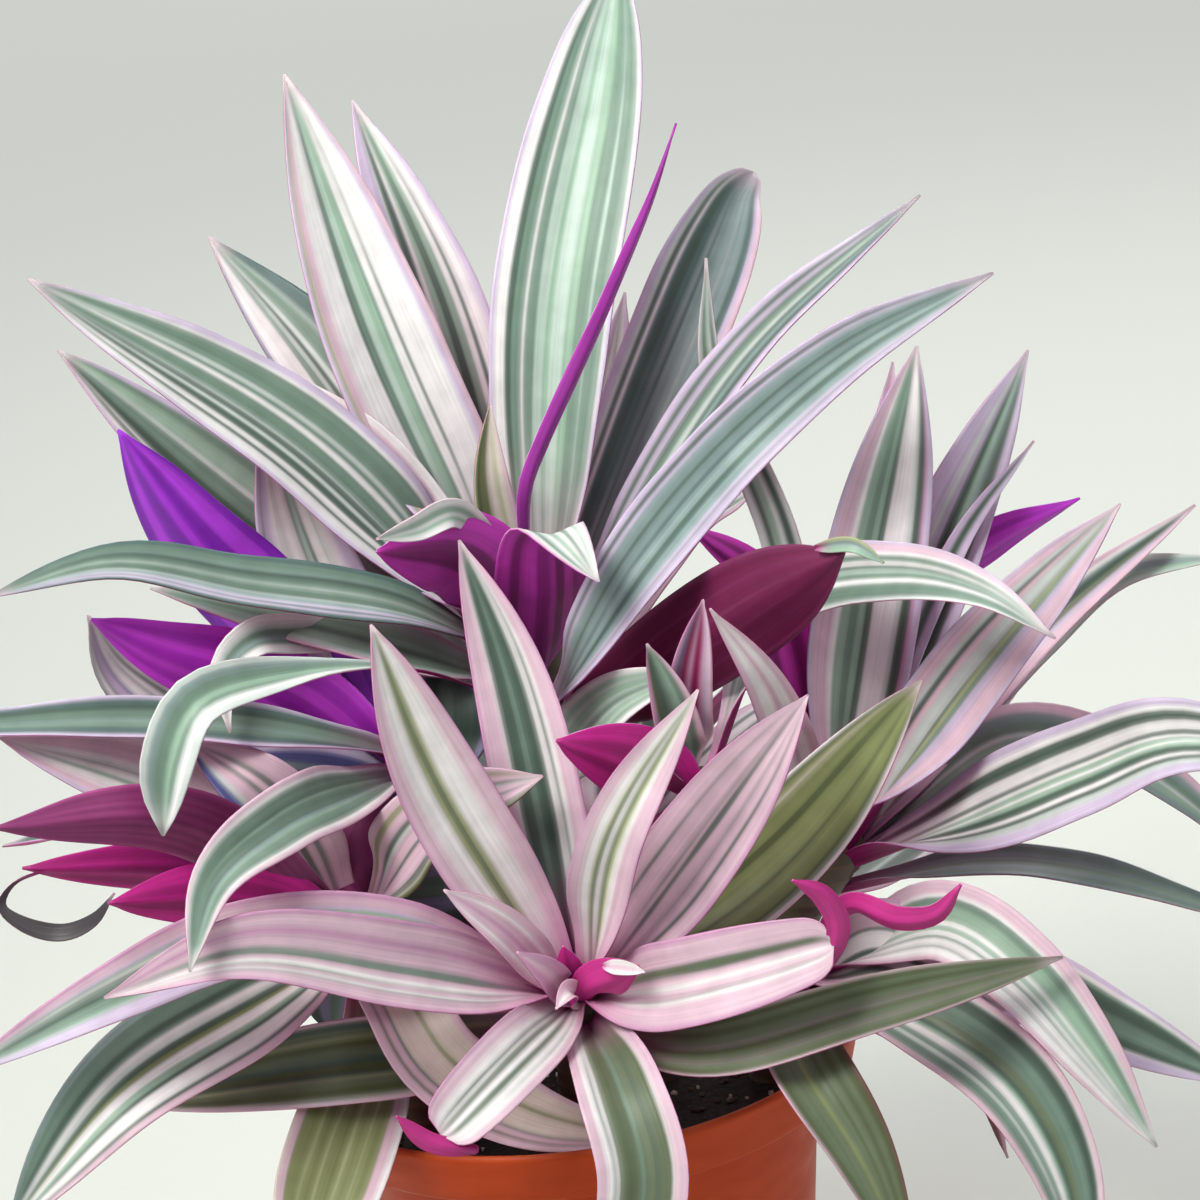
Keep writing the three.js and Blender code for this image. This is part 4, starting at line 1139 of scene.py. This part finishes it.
@dataclass
class Blade:
    """Builds one leaf's blade: a keeled, waved, closed sheet, thickest at the midrib.

    A reach is a share of the blade's length. `thinning` is how fast it thins from the midrib to the
    margins, and blades with a half width under `narrow_half` are thinner and flatter. `sway` and
    `drift` are how far the bands' edges and their brightness wander, `streak` how far each column's
    brightness strays and `pale_calm` how much less it does in pale bands. `melting` is how far the
    bands melt into each other, `shaded` how dark the lower skin is at the root, and `skin_span` how
    far apart on the skin's pattern two leaves may lie.
    """

    leaf: Leaf
    crown: np.ndarray
    axis: np.ndarray
    stem_radius: float
    seed: int
    steps: int = 36
    base_fold: float = 50.0
    fold_reach: float = 0.25
    least_half: float = 0.3
    least_drop: float = 5.0
    root_share: float = 0.5
    taper: float = 2.6
    sway: float = 0.022
    sway_knots: int = 6
    midrib_thick: float = 1.1
    margin_thick: float = 0.4
    thinning: float = 1.5
    narrow_half: float = 4.0
    narrow_thin: float = 0.35
    round_off: float = 0.12
    wave: float = 0.35
    wave_length: float = 34.0
    melting: float = 0.34
    streak: float = 0.1
    pale_calm: float = 0.75
    drift: float = 0.05
    drift_knots: int = 7
    blush_tone: str = "#C8559E"
    blush_reach: float = 0.3
    throat_tone: str = "#B8208A"
    throat_reach: float = 0.13
    throat_gain: float = 1.6
    tip_strength: float = 0.5
    tip_reach: float = 0.07
    shaded: float = 0.62
    shaded_reach: float = 0.55
    skin_span: float = 900.0

    UPPER = 0
    LOWER = 1

    def midrib(self) -> np.ndarray:
        """Find the midrib's points.

        Returns:
            steps + 1 places from inside the stem to the tip.
        """
        leaf = self.leaf
        line = leaf.line
        if line is None:
            line = np.array([VIEW.at(*point) for point in leaf.path])
        if leaf.start is not None:
            root = VIEW.at(*leaf.start)
        else:
            root = self.crown - self.axis * max(leaf.drop, self.least_drop)
            root = root + without(line[0] - root, self.axis) * self.stem_radius * self.root_share
        return even_points(np.array([root, *line]), self.steps)

    def frames(self, line: np.ndarray) -> tuple[np.ndarray, np.ndarray]:
        """Find the sideways direction and the upper side's direction along the midrib.

        The upper side faces the stem at the root, and the blade turns to face the camera.

        Args:
            line: The midrib's points.

        Returns:
            The two directions at each point.
        """
        along = unit(np.gradient(line, axis=0))
        across = unit(np.cross(self.axis, line[-1] - line[0]))
        side = without(np.broadcast_to(across, line.shape), along)
        upper = np.cross(along, side)
        wanted = (VIEW.eye() - line) * (-1 if self.leaf.back else 1)
        wanted = without(wanted, along)
        angle = np.arctan2(
            np.sum(np.cross(upper, wanted) * along, axis=1), np.sum(upper * wanted, axis=1)
        )
        tip = angle[-1]
        angle = np.unwrap(angle[::-1])[::-1]
        angle = angle + tip - angle[-1]
        t = np.linspace(0, 1, len(line))
        low, high = self.leaf.twist
        roll = angle * self.leaf.turn * smooth((t - low) / (high - low))
        return turned(side, along, roll), turned(upper, along, roll)

    def halves(self, t: np.ndarray) -> np.ndarray:
        """Give half the width along the blade, from root to tip.

        Args:
            t: Places along it, 0 to 1.

        Returns:
            The half widths.
        """
        leaf = self.leaf
        rise = np.sin(math.pi / 2 * np.minimum(t / leaf.widest, 1)) ** leaf.slim
        swell = leaf.waist + (1 - leaf.waist) * rise
        past = np.clip((t - leaf.widest) / (1 - leaf.widest), 0, 1)
        share = np.where(t < leaf.widest, swell, 1 - (1 - leaf.end) * past**self.taper)
        if leaf.end > 0:
            near_tip = np.clip((t - 1 + leaf.rounding) / leaf.rounding, 0, 1)
            share = share * np.cbrt(1 - near_tip**3)
        return np.maximum(leaf.wide / 2 * share, self.least_half)

    def columns(self, stripes: Stripes, rng: np.random.Generator) -> np.ndarray:
        """Place each column along the whole blade, with bands that swell and thin a little.

        Args:
            stripes: The bands.
            rng: The seeded source of the draws.

        Returns:
            The places across, -1 to 1, a row for each step.
        """
        rows = self.steps + 1
        sway = np.zeros((rows, stripes.bands + 1))
        for edge in range(1, stripes.bands):
            sway[:, edge] = wander(rng, rows, self.sway_knots, self.sway)
        low = sway[:, stripes.band]
        high = sway[:, stripes.band + 1]
        return stripes.share + low + (high - low) * stripes.within

    def melted(self, tones: np.ndarray, places: np.ndarray) -> np.ndarray:
        """Melt the bands into each other over a set distance, as the leaf's own cells do.

        Args:
            tones: A colour for each column.
            places: How far each column lies from the midrib, a row for each step.

        Returns:
            The colours, by row and column.
        """
        spacing = np.abs(np.gradient(places, axis=1))[:, None, :]
        gaps = (places[:, :, None] - places[:, None, :]) / self.melting
        weight = np.exp(-0.5 * gaps**2) * spacing + 1e-12
        return weight @ tones / weight.sum(axis=2, keepdims=True)

    def tints(
        self, stripes: Stripes, places: np.ndarray, rng: np.random.Generator
    ) -> tuple[np.ndarray, np.ndarray]:
        """Colour the upper and the lower skin.

        Args:
            stripes: The bands.
            places: How far each column lies from the midrib, a row for each step.
            rng: The seeded source of the draws.

        Returns:
            The linear colours of both skins, by row and column.
        """
        rows = self.steps + 1
        t = np.linspace(0, 1, rows)[:, None, None]
        pale = stripes.paleness()[:, None]
        strays = rng.uniform(-self.streak, self.streak, (len(stripes.share), 1))
        streak = 1 + strays * (1 - self.pale_calm * pale)
        drift = (1 + wander(rng, rows, self.drift_knots, self.drift))[:, None, None]
        upper = self.melted(stripes.tone * streak, places) * drift
        base = self.leaf.blush * (1 - smooth(t / self.blush_reach))
        upper = upper * (1 - base) + linear(self.blush_tone) * base
        throat = min(self.throat_gain * self.leaf.blush, 1) * (1 - smooth(t / self.throat_reach))
        upper = upper * (1 - throat) + linear(self.throat_tone) * throat
        tip = Tone.table()[self.leaf.tip_tone]
        end = self.tip_strength * smooth((t - 1 + self.tip_reach) / self.tip_reach)
        upper = upper * (1 - end) + tip * end
        under = next(tone for tone in Underside if tone.letter == self.leaf.under)
        skin = linear(under.deep) * (1 - pale) + linear(under.lit) * pale
        shade = self.shaded + (1 - self.shaded) * smooth(t / self.shaded_reach)
        lower = self.melted(skin * streak, places) * drift * shade
        return upper, lower

    def build(self, parts: MeshParts) -> None:
        """Add the blade to the mesh.

        Args:
            parts: The mesh that the blade joins.
        """
        rng = np.random.default_rng(self.seed)
        stripes = Stripes(self.leaf.marks)
        line = self.midrib()
        side, upper = self.frames(line)
        t = np.linspace(0, 1, len(line))[:, None]
        half = self.halves(t)
        share = self.columns(stripes, rng)
        run = np.linalg.norm(np.diff(line, axis=0), axis=1).sum()
        across, rise = self.section(t, half, share, run, rng)
        top = line[:, None] + side[:, None] * across[..., None] + upper[:, None] * rise[..., None]
        normal = unit(np.cross(np.gradient(top, axis=1), np.gradient(top, axis=0)))
        normal = normal * np.sign(np.sum(normal * upper[:, None], axis=2))[..., None]
        margin = self.margin_thick
        thick = margin + (self.midrib_thick - margin) * (1 - np.abs(share)) ** self.thinning
        thick = thick * np.minimum(1, self.narrow_thin + half / self.narrow_half)
        low = top - normal * thick[..., None]
        tint_top, tint_low = self.tints(stripes, share * half, rng)
        away = rng.uniform(0, self.skin_span, 2)
        level = np.broadcast_to(t * run, share.shape)
        places = np.stack([share * self.leaf.wide / 2 + away[0], level + away[1]], axis=2)
        flat = places.reshape(-1, 2)
        first = parts.add_points(top.reshape(-1, 3), tint_top.reshape(-1, 3), flat)
        second = parts.add_points(low.reshape(-1, 3), tint_low.reshape(-1, 3), flat)
        self.close(parts, first, second, *share.shape)

    def section(
        self, t: np.ndarray, half: np.ndarray, share: np.ndarray, run: float, rng: np.random.Generator
    ) -> tuple[np.ndarray, np.ndarray]:
        """Fold the blade up from its midrib and wave its margins.

        Args:
            t: Places along it, 0 to 1, one for each row.
            half: Half the width of each row.
            share: Each point's place across, -1 to 1.
            run: The blade's length.
            rng: The seeded source of the draws.

        Returns:
            How far each point lies sideways from the midrib, and how far above it.
        """
        keel = self.leaf.keel
        fold = np.radians(keel + (self.base_fold - keel) * (1 - smooth(t / self.fold_reach)))
        eased = np.sqrt(share**2 + self.round_off**2) - self.round_off
        lift = eased / (math.sqrt(1 + self.round_off**2) - self.round_off)
        phase = rng.uniform(0, 2 * math.pi, 2)
        turns = 2 * math.pi * run / self.wave_length * t
        ripple = np.where(share < 0, np.sin(turns + phase[0]), np.sin(turns + phase[1]))
        ripple = ripple * np.abs(share) ** 3 * self.wave * smooth(half / self.narrow_half)
        return share * half * np.cos(fold), lift * half * np.sin(fold) + ripple

    def close(self, parts: MeshParts, first: int, second: int, rows: int, wide: int) -> None:
        """Close the two skins into one sheet.

        Args:
            parts: The mesh.
            first: The number of the upper skin's first point.
            second: The number of the lower skin's first point.
            rows: How many rows of points each skin has.
            wide: How many points are in a row.
        """
        top = []
        low = []
        for i in range(rows - 1):
            for j in range(wide - 1):
                a = i * wide + j
                top.append((first + a, first + a + 1, first + a + wide + 1, first + a + wide))
                low.append((second + a, second + a + wide, second + a + wide + 1, second + a + 1))
        rim = [i * wide for i in range(rows - 1, 0, -1)]
        rim += list(range(wide - 1))
        rim += [i * wide + wide - 1 for i in range(rows - 1)]
        rim += [(rows - 1) * wide + j for j in range(wide - 1, 0, -1)]
        edge = []
        for a, b in zip(rim, rim[1:] + rim[:1]):
            edge.append((first + b, first + a, second + a, second + b))
        parts.add_faces(top, self.UPPER)
        parts.add_faces(low, self.LOWER)
        parts.add_faces(edge, self.UPPER, soft=False)


@dataclass
class Stem:
    """Builds a rosette's stem, from inside the mix up to the crown, ringed where old leaves were.

    It is thinner in the mix, over a `neck`, and over its last `top` millimetres.
    """

    crown: np.ndarray
    axis: np.ndarray
    foot: tuple[float, float]
    radius: float
    ground: float
    sink: float = 14.0
    buried_share: float = 0.86
    crown_share: float = 0.7
    sides: int = 20
    steps: int = 40
    ring_spacing: float = 4.5
    ring_size: float = 0.05
    ring_sharpness: int = 5
    upright: float = 1.0
    neck: float = 3.0
    top: float = 6.0
    tint: float = 0.3

    SLOT = 2

    def build(self, parts: MeshParts) -> None:
        """Add the stem to the mesh.

        Args:
            parts: The mesh that the stem joins.
        """
        low = np.array([*self.foot, self.ground - self.sink])
        ground = np.array([*self.foot, self.ground + self.upright])
        high = self.crown - self.axis * self.top
        line = even_points(np.array([low, ground, high, self.crown]), self.steps)
        along = unit(np.gradient(line, axis=0))
        along[0] = (0, 0, 1)
        east = unit(np.cross(np.array([0.0, 1, 0]), along))
        north = np.cross(along, east)
        run = np.concatenate([[0], np.cumsum(np.linalg.norm(np.diff(line, axis=0), axis=1))])
        scars = 1 + self.ring_size * np.cos(2 * math.pi * run / self.ring_spacing) ** self.ring_sharpness
        buried = 1 - (1 - self.buried_share) * (1 - smooth((run - self.sink + self.neck) / self.neck))
        top = 1 - (1 - self.crown_share) * smooth((run - run[-1] + self.top) / self.top)
        size = self.radius * scars * buried * top
        angle = np.linspace(0, 2 * math.pi, self.sides, endpoint=False)
        turn = angle[None, :, None]
        ring = east[:, None] * np.cos(turn) + north[:, None] * np.sin(turn)
        points = (line[:, None] + ring * size[:, None, None]).reshape(-1, 3)
        places = np.column_stack([np.tile(angle * self.radius, len(line)), np.repeat(run, self.sides)])
        first = parts.add_points(points, np.full(points.shape, self.tint), places)
        faces = []
        for i in range(len(line) - 1):
            for j in range(self.sides):
                a = first + i * self.sides + j
                b = first + i * self.sides + (j + 1) % self.sides
                faces.append((a, b, b + self.sides, a + self.sides))
        last = first + (len(line) - 1) * self.sides
        faces.append(tuple(range(first + self.sides - 1, first - 1, -1)))
        faces.append(tuple(range(last, last + self.sides)))
        parts.add_faces(faces, self.SLOT)


@dataclass
class Plant:
    """The whole plant: eight rosettes, each one piece that stands for its solid."""

    rosettes: tuple[Rosette, ...]
    first_seed: int = 4100
    seed_step: int = 100
    steps: int = 36
    folded_steps: int = 80

    def skins(self) -> list[bpy.types.Material]:
        """Make the skins.

        Returns:
            The upper skin, the lower skin and the stem's skin.
        """
        return [
            LeafSkin("living_leaf_upper_skin").make(),
            LeafSkin("living_leaf_lower_skin", roughness=0.46, streak=0.2, glow=0.14).make(),
            StemSkin("living_succulent_stem").make(),
        ]

    def build(self) -> list[bpy.types.Object]:
        """Build every rosette.

        Returns:
            The pieces.
        """
        skins = self.skins()
        draws = FarDraws()
        pieces = []
        for number, rosette in enumerate(self.rosettes):
            seed = self.first_seed + self.seed_step * number
            pieces.append(self.build_rosette(rosette, skins, draws, seed))
        return pieces

    def build_rosette(
        self, rosette: Rosette, skins: list[bpy.types.Material], draws: FarDraws, seed: int
    ) -> bpy.types.Object:
        """Build one rosette.

        Args:
            rosette: Its places and leaves.
            skins: The three skins.
            draws: The draws that shape the far leaves.
            seed: The first seed for the details of its leaves.

        Returns:
            The piece.
        """
        crown = np.array(rosette.crown_place) if rosette.crown_place else VIEW.at(*rosette.crown)
        ground = BED.height(math.hypot(*rosette.foot))
        axis = unit(crown - np.array([*rosette.foot, ground]))
        leaves = list(rosette.leaves)
        if rosette.far is not None:
            leaves += draws.grow(rosette.far, crown)
        parts = MeshParts()
        for number, leaf in enumerate(leaves):
            steps = self.folded_steps if leaf.end > 0 else self.steps
            Blade(leaf, crown, axis, rosette.radius, seed + number, steps).build(parts)
        Stem(crown, axis, rosette.foot, rosette.radius, ground).build(parts)
        piece = parts.make(f"{rosette.name}_rosette", skins)
        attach(piece, BODY)
        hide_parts(f"shoot_{rosette.name}")
        return piece


def lathe(profile: list[tuple[float, float]], sides: int) -> tuple[np.ndarray, list[tuple[int, ...]]]:
    """Turn a profile about the upright axis.

    Args:
        profile: Its radii and heights; the first and the last are on the axis.
        sides: How many sides the turned form has.

    Returns:
        The points and the faces.
    """
    angle = np.linspace(0, 2 * math.pi, sides, endpoint=False)
    points = [np.array([0, 0, profile[0][1]]), np.array([0, 0, profile[-1][1]])]
    inner = profile[1:-1]
    for radius, height in inner:
        points += [np.array([radius * math.cos(a), radius * math.sin(a), height]) for a in angle]
    faces = []
    last = 2 + (len(inner) - 1) * sides
    for j in range(sides):
        k = (j + 1) % sides
        faces.append((0, 2 + k, 2 + j))
        faces.append((1, last + j, last + k))
        for i in range(len(inner) - 1):
            a = 2 + i * sides
            faces.append((a + j, a + k, a + sides + k, a + sides + j))
    return np.array(points), faces


def rounded(profile: list[tuple[float, float]], reach: float, steps: int) -> list[tuple[float, float]]:
    """Round the corners of a profile.

    Args:
        profile: Its radii and heights.
        reach: How far from a corner its rounding begins, at most CORNER_SHARE of a side's length.
        steps: How many steps each rounding has.

    Returns:
        The rounded profile.
    """
    made = [profile[0]]
    for before, corner, after in zip(profile, profile[1:], profile[2:]):
        before, corner, after = np.array(before), np.array(corner), np.array(after)
        back = before - corner
        on = after - corner
        start = corner + unit(back) * min(reach, np.linalg.norm(back) * CORNER_SHARE)
        end = corner + unit(on) * min(reach, np.linalg.norm(on) * CORNER_SHARE)
        for k in range(steps + 1):
            s = k / steps
            made.append(tuple(start * (1 - s) ** 2 + corner * 2 * s * (1 - s) + end * s**2))
    made.append(profile[-1])
    return made


def make_object(
    name: str, points: np.ndarray, faces: list[tuple[int, ...]], material: bpy.types.Material
) -> bpy.types.Object:
    """Make an object of one smooth mesh.

    Args:
        name: Its name.
        points: Its points in millimetres.
        faces: Its faces.
        material: Its material.

    Returns:
        The object, in the scene.
    """
    mesh = bpy.data.meshes.new(name)
    mesh.from_pydata((points * MM).tolist(), [], faces)
    mesh.materials.append(material)
    mesh.polygons.foreach_set("use_smooth", [True] * len(faces))
    mesh.update()
    made = bpy.data.objects.new(name, mesh)
    bpy.context.scene.collection.objects.link(made)
    return made


@dataclass(frozen=True)
class Pot:
    """The pot: a tapered wall, a broad collar, a flat floor and a ring of drain holes.

    The small sizes after `drain_circle` shape the foot's edge, the ledge under the collar, outside and
    inside, and the lip. `edge` is how far its corners are rounded.
    """

    height: float = 122.0
    rim_radius: float = 70.0
    collar_height: float = 13.0
    collar_foot_radius: float = 66.0
    body_top_radius: float = 57.5
    base_radius: float = 43.0
    wall: float = 2.2
    floor: float = 3.0
    drain_holes: int = 6
    drain_radius: float = 4.5
    drain_circle: float = 29.0
    foot_edge: float = 1.5
    ledge_rise: float = 2.0
    lip_height: float = 1.0
    lip_slope: float = 0.5
    lip_outer: float = 1.2
    lip_inner: float = 0.8
    inner_ledge_top: float = 2.0
    inner_ledge_foot: float = 1.0
    base_thickening: float = 0.3
    edge: float = 0.9
    edge_steps: int = 4
    sides: int = 144
    hole_sides: int = 32
    overcut: float = 2.0
    sharp_above: float = 35.0

    def profile(self) -> list[tuple[float, float]]:
        """Draw the pot's profile.

        Returns:
            Its radii and heights, from the middle of the underside round to the floor inside.
        """
        step = self.height - self.collar_height
        lip = self.height - self.lip_height
        return [
            (0, 0),
            (self.base_radius - self.foot_edge, 0),
            (self.base_radius, self.foot_edge),
            (self.body_top_radius, step - self.ledge_rise),
            (self.collar_foot_radius, step),
            (self.rim_radius - self.lip_slope, lip),
            (self.rim_radius - self.lip_outer, self.height),
            (self.rim_radius - self.wall, self.height),
            (self.rim_radius - self.wall - self.lip_inner, lip),
            (self.collar_foot_radius - self.wall, step + self.inner_ledge_top),
            (self.body_top_radius - self.wall, step - self.inner_ledge_foot),
            (self.base_radius - self.wall + self.base_thickening, self.floor),
            (0, self.floor),
        ]

    def build(self) -> bpy.types.Object:
        """Build the pot.

        Returns:
            The piece.
        """
        material = MouldedPolypropylene("moulded_polypropylene").make()
        points, faces = lathe(rounded(self.profile(), self.edge, self.edge_steps), self.sides)
        pot = make_object("moulded_pot", points, faces, material)
        drills = []
        for k in range(self.drain_holes):
            angle = 2 * math.pi * k / self.drain_holes
            middle = (self.drain_circle * math.cos(angle), self.drain_circle * math.sin(angle))
            drills.append(self.drill(pot, middle, material))
        drilled = pot.evaluated_get(bpy.context.evaluated_depsgraph_get())
        mesh = bpy.data.meshes.new_from_object(drilled)
        pot.modifiers.clear()
        pot.data = mesh
        for drill in drills:
            bpy.data.objects.remove(drill)
        mesh.set_sharp_from_angle(angle=math.radians(self.sharp_above))
        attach(pot, BODY)
        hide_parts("pot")
        return pot

    def drill(
        self, pot: bpy.types.Object, middle: tuple[float, float], material: bpy.types.Material
    ) -> bpy.types.Object:
        """Mark one drain hole to be cut.

        Args:
            pot: The pot.
            middle: The hole's middle.
            material: The pot's material.

        Returns:
            The tool that cuts it.
        """
        low = -self.overcut
        high = self.floor + self.overcut
        rod = [(0, low), (self.drain_radius, low), (self.drain_radius, high), (0, high)]
        points, faces = lathe(rod, self.hole_sides)
        drill = make_object("drill", points + np.array([*middle, 0]), faces, material)
        cut = pot.modifiers.new("drain_hole", "BOOLEAN")
        cut.object = drill
        cut.operation = "DIFFERENCE"
        cut.solver = "EXACT"
        return drill


@dataclass(frozen=True)
class Lumps:
    """One kind of lump in the mix: its material's number, how many, their radii and how flat they are."""

    slot: int
    count: int
    smallest: float
    largest: float
    flat: float


@dataclass(frozen=True)
class PottingMix:
    """The mix: a crumbly bed of peat, with bark chips and pale perlite lying in its top.

    `coarse` and `fine` are how high its clods and its crumbs stand, each with how wide they are. The
    bed is calm within `calm_edge` of its `reach`, and its side bends in at the `shoulder`, so far below
    the collar.
    """

    pot: Pot = field(default_factory=Pot)
    gap: float = 0.3
    wall_gap: float = 0.45
    settled: float = 0.6
    coarse: float = 0.63
    coarse_width: float = 9.0
    fine: float = 0.45
    fine_width: float = 2.3
    calm_edge: float = 3.0
    shoulder: float = 4.0
    seed: int = 77
    chips: Lumps = Lumps(1, 260, 0.8, 2.2, 0.35)
    perlite: Lumps = Lumps(2, 60, 0.4, 1.0, 0.8)
    lump_lift: float = 0.3
    lump_tilt: float = 0.4
    lump_dent: float = 0.2
    narrowest: float = 0.5
    broadest: float = 0.9
    reach: float = 52.0
    sides: int = 120
    rings: int = 44

    def wall_at(self, height: float) -> float:
        """Find the mix's outer radius.

        Args:
            height: The height above the pot's underside.

        Returns:
            The radius there.
        """
        low = self.pot.base_radius - self.pot.wall + self.pot.base_thickening
        high = self.pot.body_top_radius - self.pot.wall
        step = self.pot.height - self.pot.collar_height
        share = (height - self.pot.floor) / (step - self.pot.inner_ledge_foot - self.pot.floor)
        return low + (high - low) * share - self.wall_gap

    def top(self, radius: float, angle: float) -> float:
        """Find the height of the crumbly top at a place.

        Args:
            radius: Its distance from the pot's axis.
            angle: Its heading, in radians.

        Returns:
            The height.
        """
        place = Vector((radius * math.cos(angle), radius * math.sin(angle), 0))
        coarse = self.coarse * noise.noise(place / self.coarse_width)
        fine = self.fine * noise.noise(place / self.fine_width)
        calm = float(smooth((self.reach - radius) / self.calm_edge))
        return BED.height(radius) - self.settled + (coarse + fine) * calm

    def build(self) -> bpy.types.Object:
        """Build the mix.

        Returns:
            The piece.
        """
        stuffs = [
            Crumb("milled_peat", "#1A1512", "#372B25").make(),
            Crumb("shredded_pine_bark", "#2C211B", "#514036", crumb=1.1, depth=0.3).make(),
            Crumb("expanded_perlite", "#A39A88", "#D2CCBE", crumb=0.8, depth=0.3, roughness=0.85).make(),
        ]
        form = bmesh.new()
        self.bed(form)
        rng = np.random.default_rng(self.seed)
        for kind in (self.chips, self.perlite):
            for _ in range(kind.count):
                self.lump(form, rng, kind)
        mesh = bpy.data.meshes.new("potting_mix_bed")
        form.to_mesh(mesh)
        form.free()
        for stuff in stuffs:
            mesh.materials.append(stuff)
        piece = bpy.data.objects.new("potting_mix_bed", mesh)
        bpy.context.scene.collection.objects.link(piece)
        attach(piece, BODY)
        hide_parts("potting_mix")
        return piece

    def bed(self, form: bmesh.types.BMesh) -> None:
        """Add the closed bed of peat.

        Args:
            form: The mesh that it joins.
        """
        low = self.pot.floor + self.gap
        shoulder = self.pot.height - self.pot.collar_height - self.shoulder
        angles = [2 * math.pi * k / self.sides for k in range(self.sides)]
        wall = self.wall_at(shoulder)
        rings = [[(self.wall_at(low) - self.gap, low)] * self.sides, [(wall, shoulder)] * self.sides]
        for k in range(self.rings):
            radius = wall * (1 - k / self.rings)
            rings.append([(radius, self.top(radius, angle)) for angle in angles])
        made = []
        for ring in rings:
            row = []
            for (radius, height), angle in zip(ring, angles):
                place = Vector((radius * math.cos(angle), radius * math.sin(angle), height)) * MM
                row.append(form.verts.new(place))
            made.append(row)
        form.faces.new(made[0][::-1])
        for below, above in zip(made, made[1:]):
            for k in range(self.sides):
                j = (k + 1) % self.sides
                form.faces.new((below[k], below[j], above[j], above[k]))
        form.faces.new(made[-1])
        for face in form.faces:
            face.smooth = True

    def lump(self, form: bmesh.types.BMesh, rng: np.random.Generator, kind: Lumps) -> None:
        """Add one chip or grain, half sunk in the bed.

        Args:
            form: The mesh that it joins.
            rng: The seeded source of the draws.
            kind: The kind of lump.
        """
        size = rng.uniform(kind.smallest, kind.largest) * MM
        radius = self.reach * math.sqrt(rng.uniform(0, 1))
        angle = rng.uniform(0, 2 * math.pi)
        place = Vector((radius * math.cos(angle), radius * math.sin(angle), self.top(radius, angle))) * MM
        place.z += size * kind.flat * self.lump_lift
        heading = Matrix.Rotation(rng.uniform(0, 2 * math.pi), 4, "Z")
        tilt = Matrix.Rotation(rng.uniform(-self.lump_tilt, self.lump_tilt), 4, "X")
        breadth = size * rng.uniform(self.narrowest, self.broadest)
        shape = Matrix.Diagonal((size, breadth, size * kind.flat, 1))
        matrix = Matrix.Translation(place) @ heading @ tilt @ shape
        made = bmesh.ops.create_icosphere(form, subdivisions=1, radius=1, matrix=matrix)
        for vert in made["verts"]:
            vert.co += Vector(rng.uniform(-self.lump_dent, self.lump_dent, 3)) * size * kind.flat
        for face in {face for vert in made["verts"] for face in vert.link_faces}:
            face.material_index = kind.slot


@dataclass(frozen=True)
class Lamp:
    """One square lamp: its place, aim and side in metres, its power in watts, its beam in degrees."""

    name: str
    place: tuple[float, float, float]
    aim: tuple[float, float, float]
    size: float
    power: float
    colour: str = "#FFFFFF"
    beam: float = 180.0

    def hang(self) -> None:
        """Hang the lamp."""
        data = bpy.data.lights.new(self.name, "AREA")
        data.size = self.size
        data.energy = self.power
        data.color = tuple(linear(self.colour))
        data.spread = math.radians(self.beam)
        lamp = bpy.data.objects.new(self.name, data)
        lamp.location = self.place
        look = Vector(self.aim) - Vector(self.place)
        lamp.rotation_euler = look.to_track_quat("-Z", "Y").to_euler()
        bpy.context.scene.collection.objects.link(lamp)


@dataclass(frozen=True)
class Studio:
    """A pale floor and a soft bright room, with big soft lamps high on the left, behind and far off."""

    floor_half: float = 9.0
    room: str = "#F4F6FA"
    room_power: float = 0.42
    lamps: tuple[Lamp, ...] = (
        Lamp("key_lamp", (-0.55, -0.5, 0.95), (0, 0, 0.24), 0.6, 4.15, "#FFFBF5"),
        Lamp("crown_lamp", (-0.3, -0.45, 0.95), (0, 0, 0.36), 0.35, 1.1, "#FBFFF8", beam=70),
        Lamp("fill_lamp", (1.1, -0.9, 1.2), (0, 0, 0.2), 1.2, 2.5, "#F3F6FF"),
        Lamp("back_lamp", (0.3, 1.0, 1.3), (0, 0, 0.25), 1.0, 9.0),
        Lamp("far_lamp", (0, 3.2, 3.2), (0, 4.6, 0), 4.0, 78.0),
    )

    def build(self) -> None:
        """Lay the floor and hang the lamps."""
        reach = self.floor_half
        corners = [(-reach, -reach, 0), (reach, -reach, 0), (reach, reach, 0), (-reach, reach, 0)]
        mesh = bpy.data.meshes.new("studio_floor")
        mesh.from_pydata(corners, [], [(0, 1, 2, 3)])
        mesh.materials.append(StudioPaper("calendered_paper").make())
        floor = bpy.data.objects.new("studio_floor", mesh)
        bpy.context.scene.collection.objects.link(floor)
        floor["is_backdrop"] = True
        world = bpy.data.worlds.new("studio_room")
        world.use_nodes = True
        world.node_tree.nodes.clear()
        light = {"Color": rgba(self.room), "Strength": self.room_power}
        air = add_node(world.node_tree, "Background", light)
        add_node(world.node_tree, "OutputWorld", {"Surface": air.outputs["Background"]})
        bpy.context.scene.world = world
        bpy.context.scene.view_settings.view_transform = "Standard"
        for lamp in self.lamps:
            lamp.hang()


def plain(box: object) -> object:
    """Turn a box into plain lists of numbers.

    Args:
        box: The box, or a part of it.

    Returns:
        The same, in lists and floats.
    """
    if isinstance(box, dict):
        return {key: plain(value) for key, value in box.items()}
    if isinstance(box, (list, tuple, np.ndarray, Vector)):
        return [plain(value) for value in box]
    return float(box)


def main() -> None:
    """Load the frame, build the camera, the pot, the mix and the plant, report them, and light them."""
    logging.basicConfig(level=logging.INFO, format="%(name)s: %(message)s")
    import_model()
    solid_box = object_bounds()
    VIEW.make()
    for piece in (Pot().build(), PottingMix().build(), *Plant(ROSETTES).build()):
        LOG.info("%s: %d faces", piece.name, len(piece.data.polygons))
    Studio().build()
    boxes = {"cad": plain(solid_box), "visual": plain(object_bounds())}


if __name__ == "__main__":
    main()
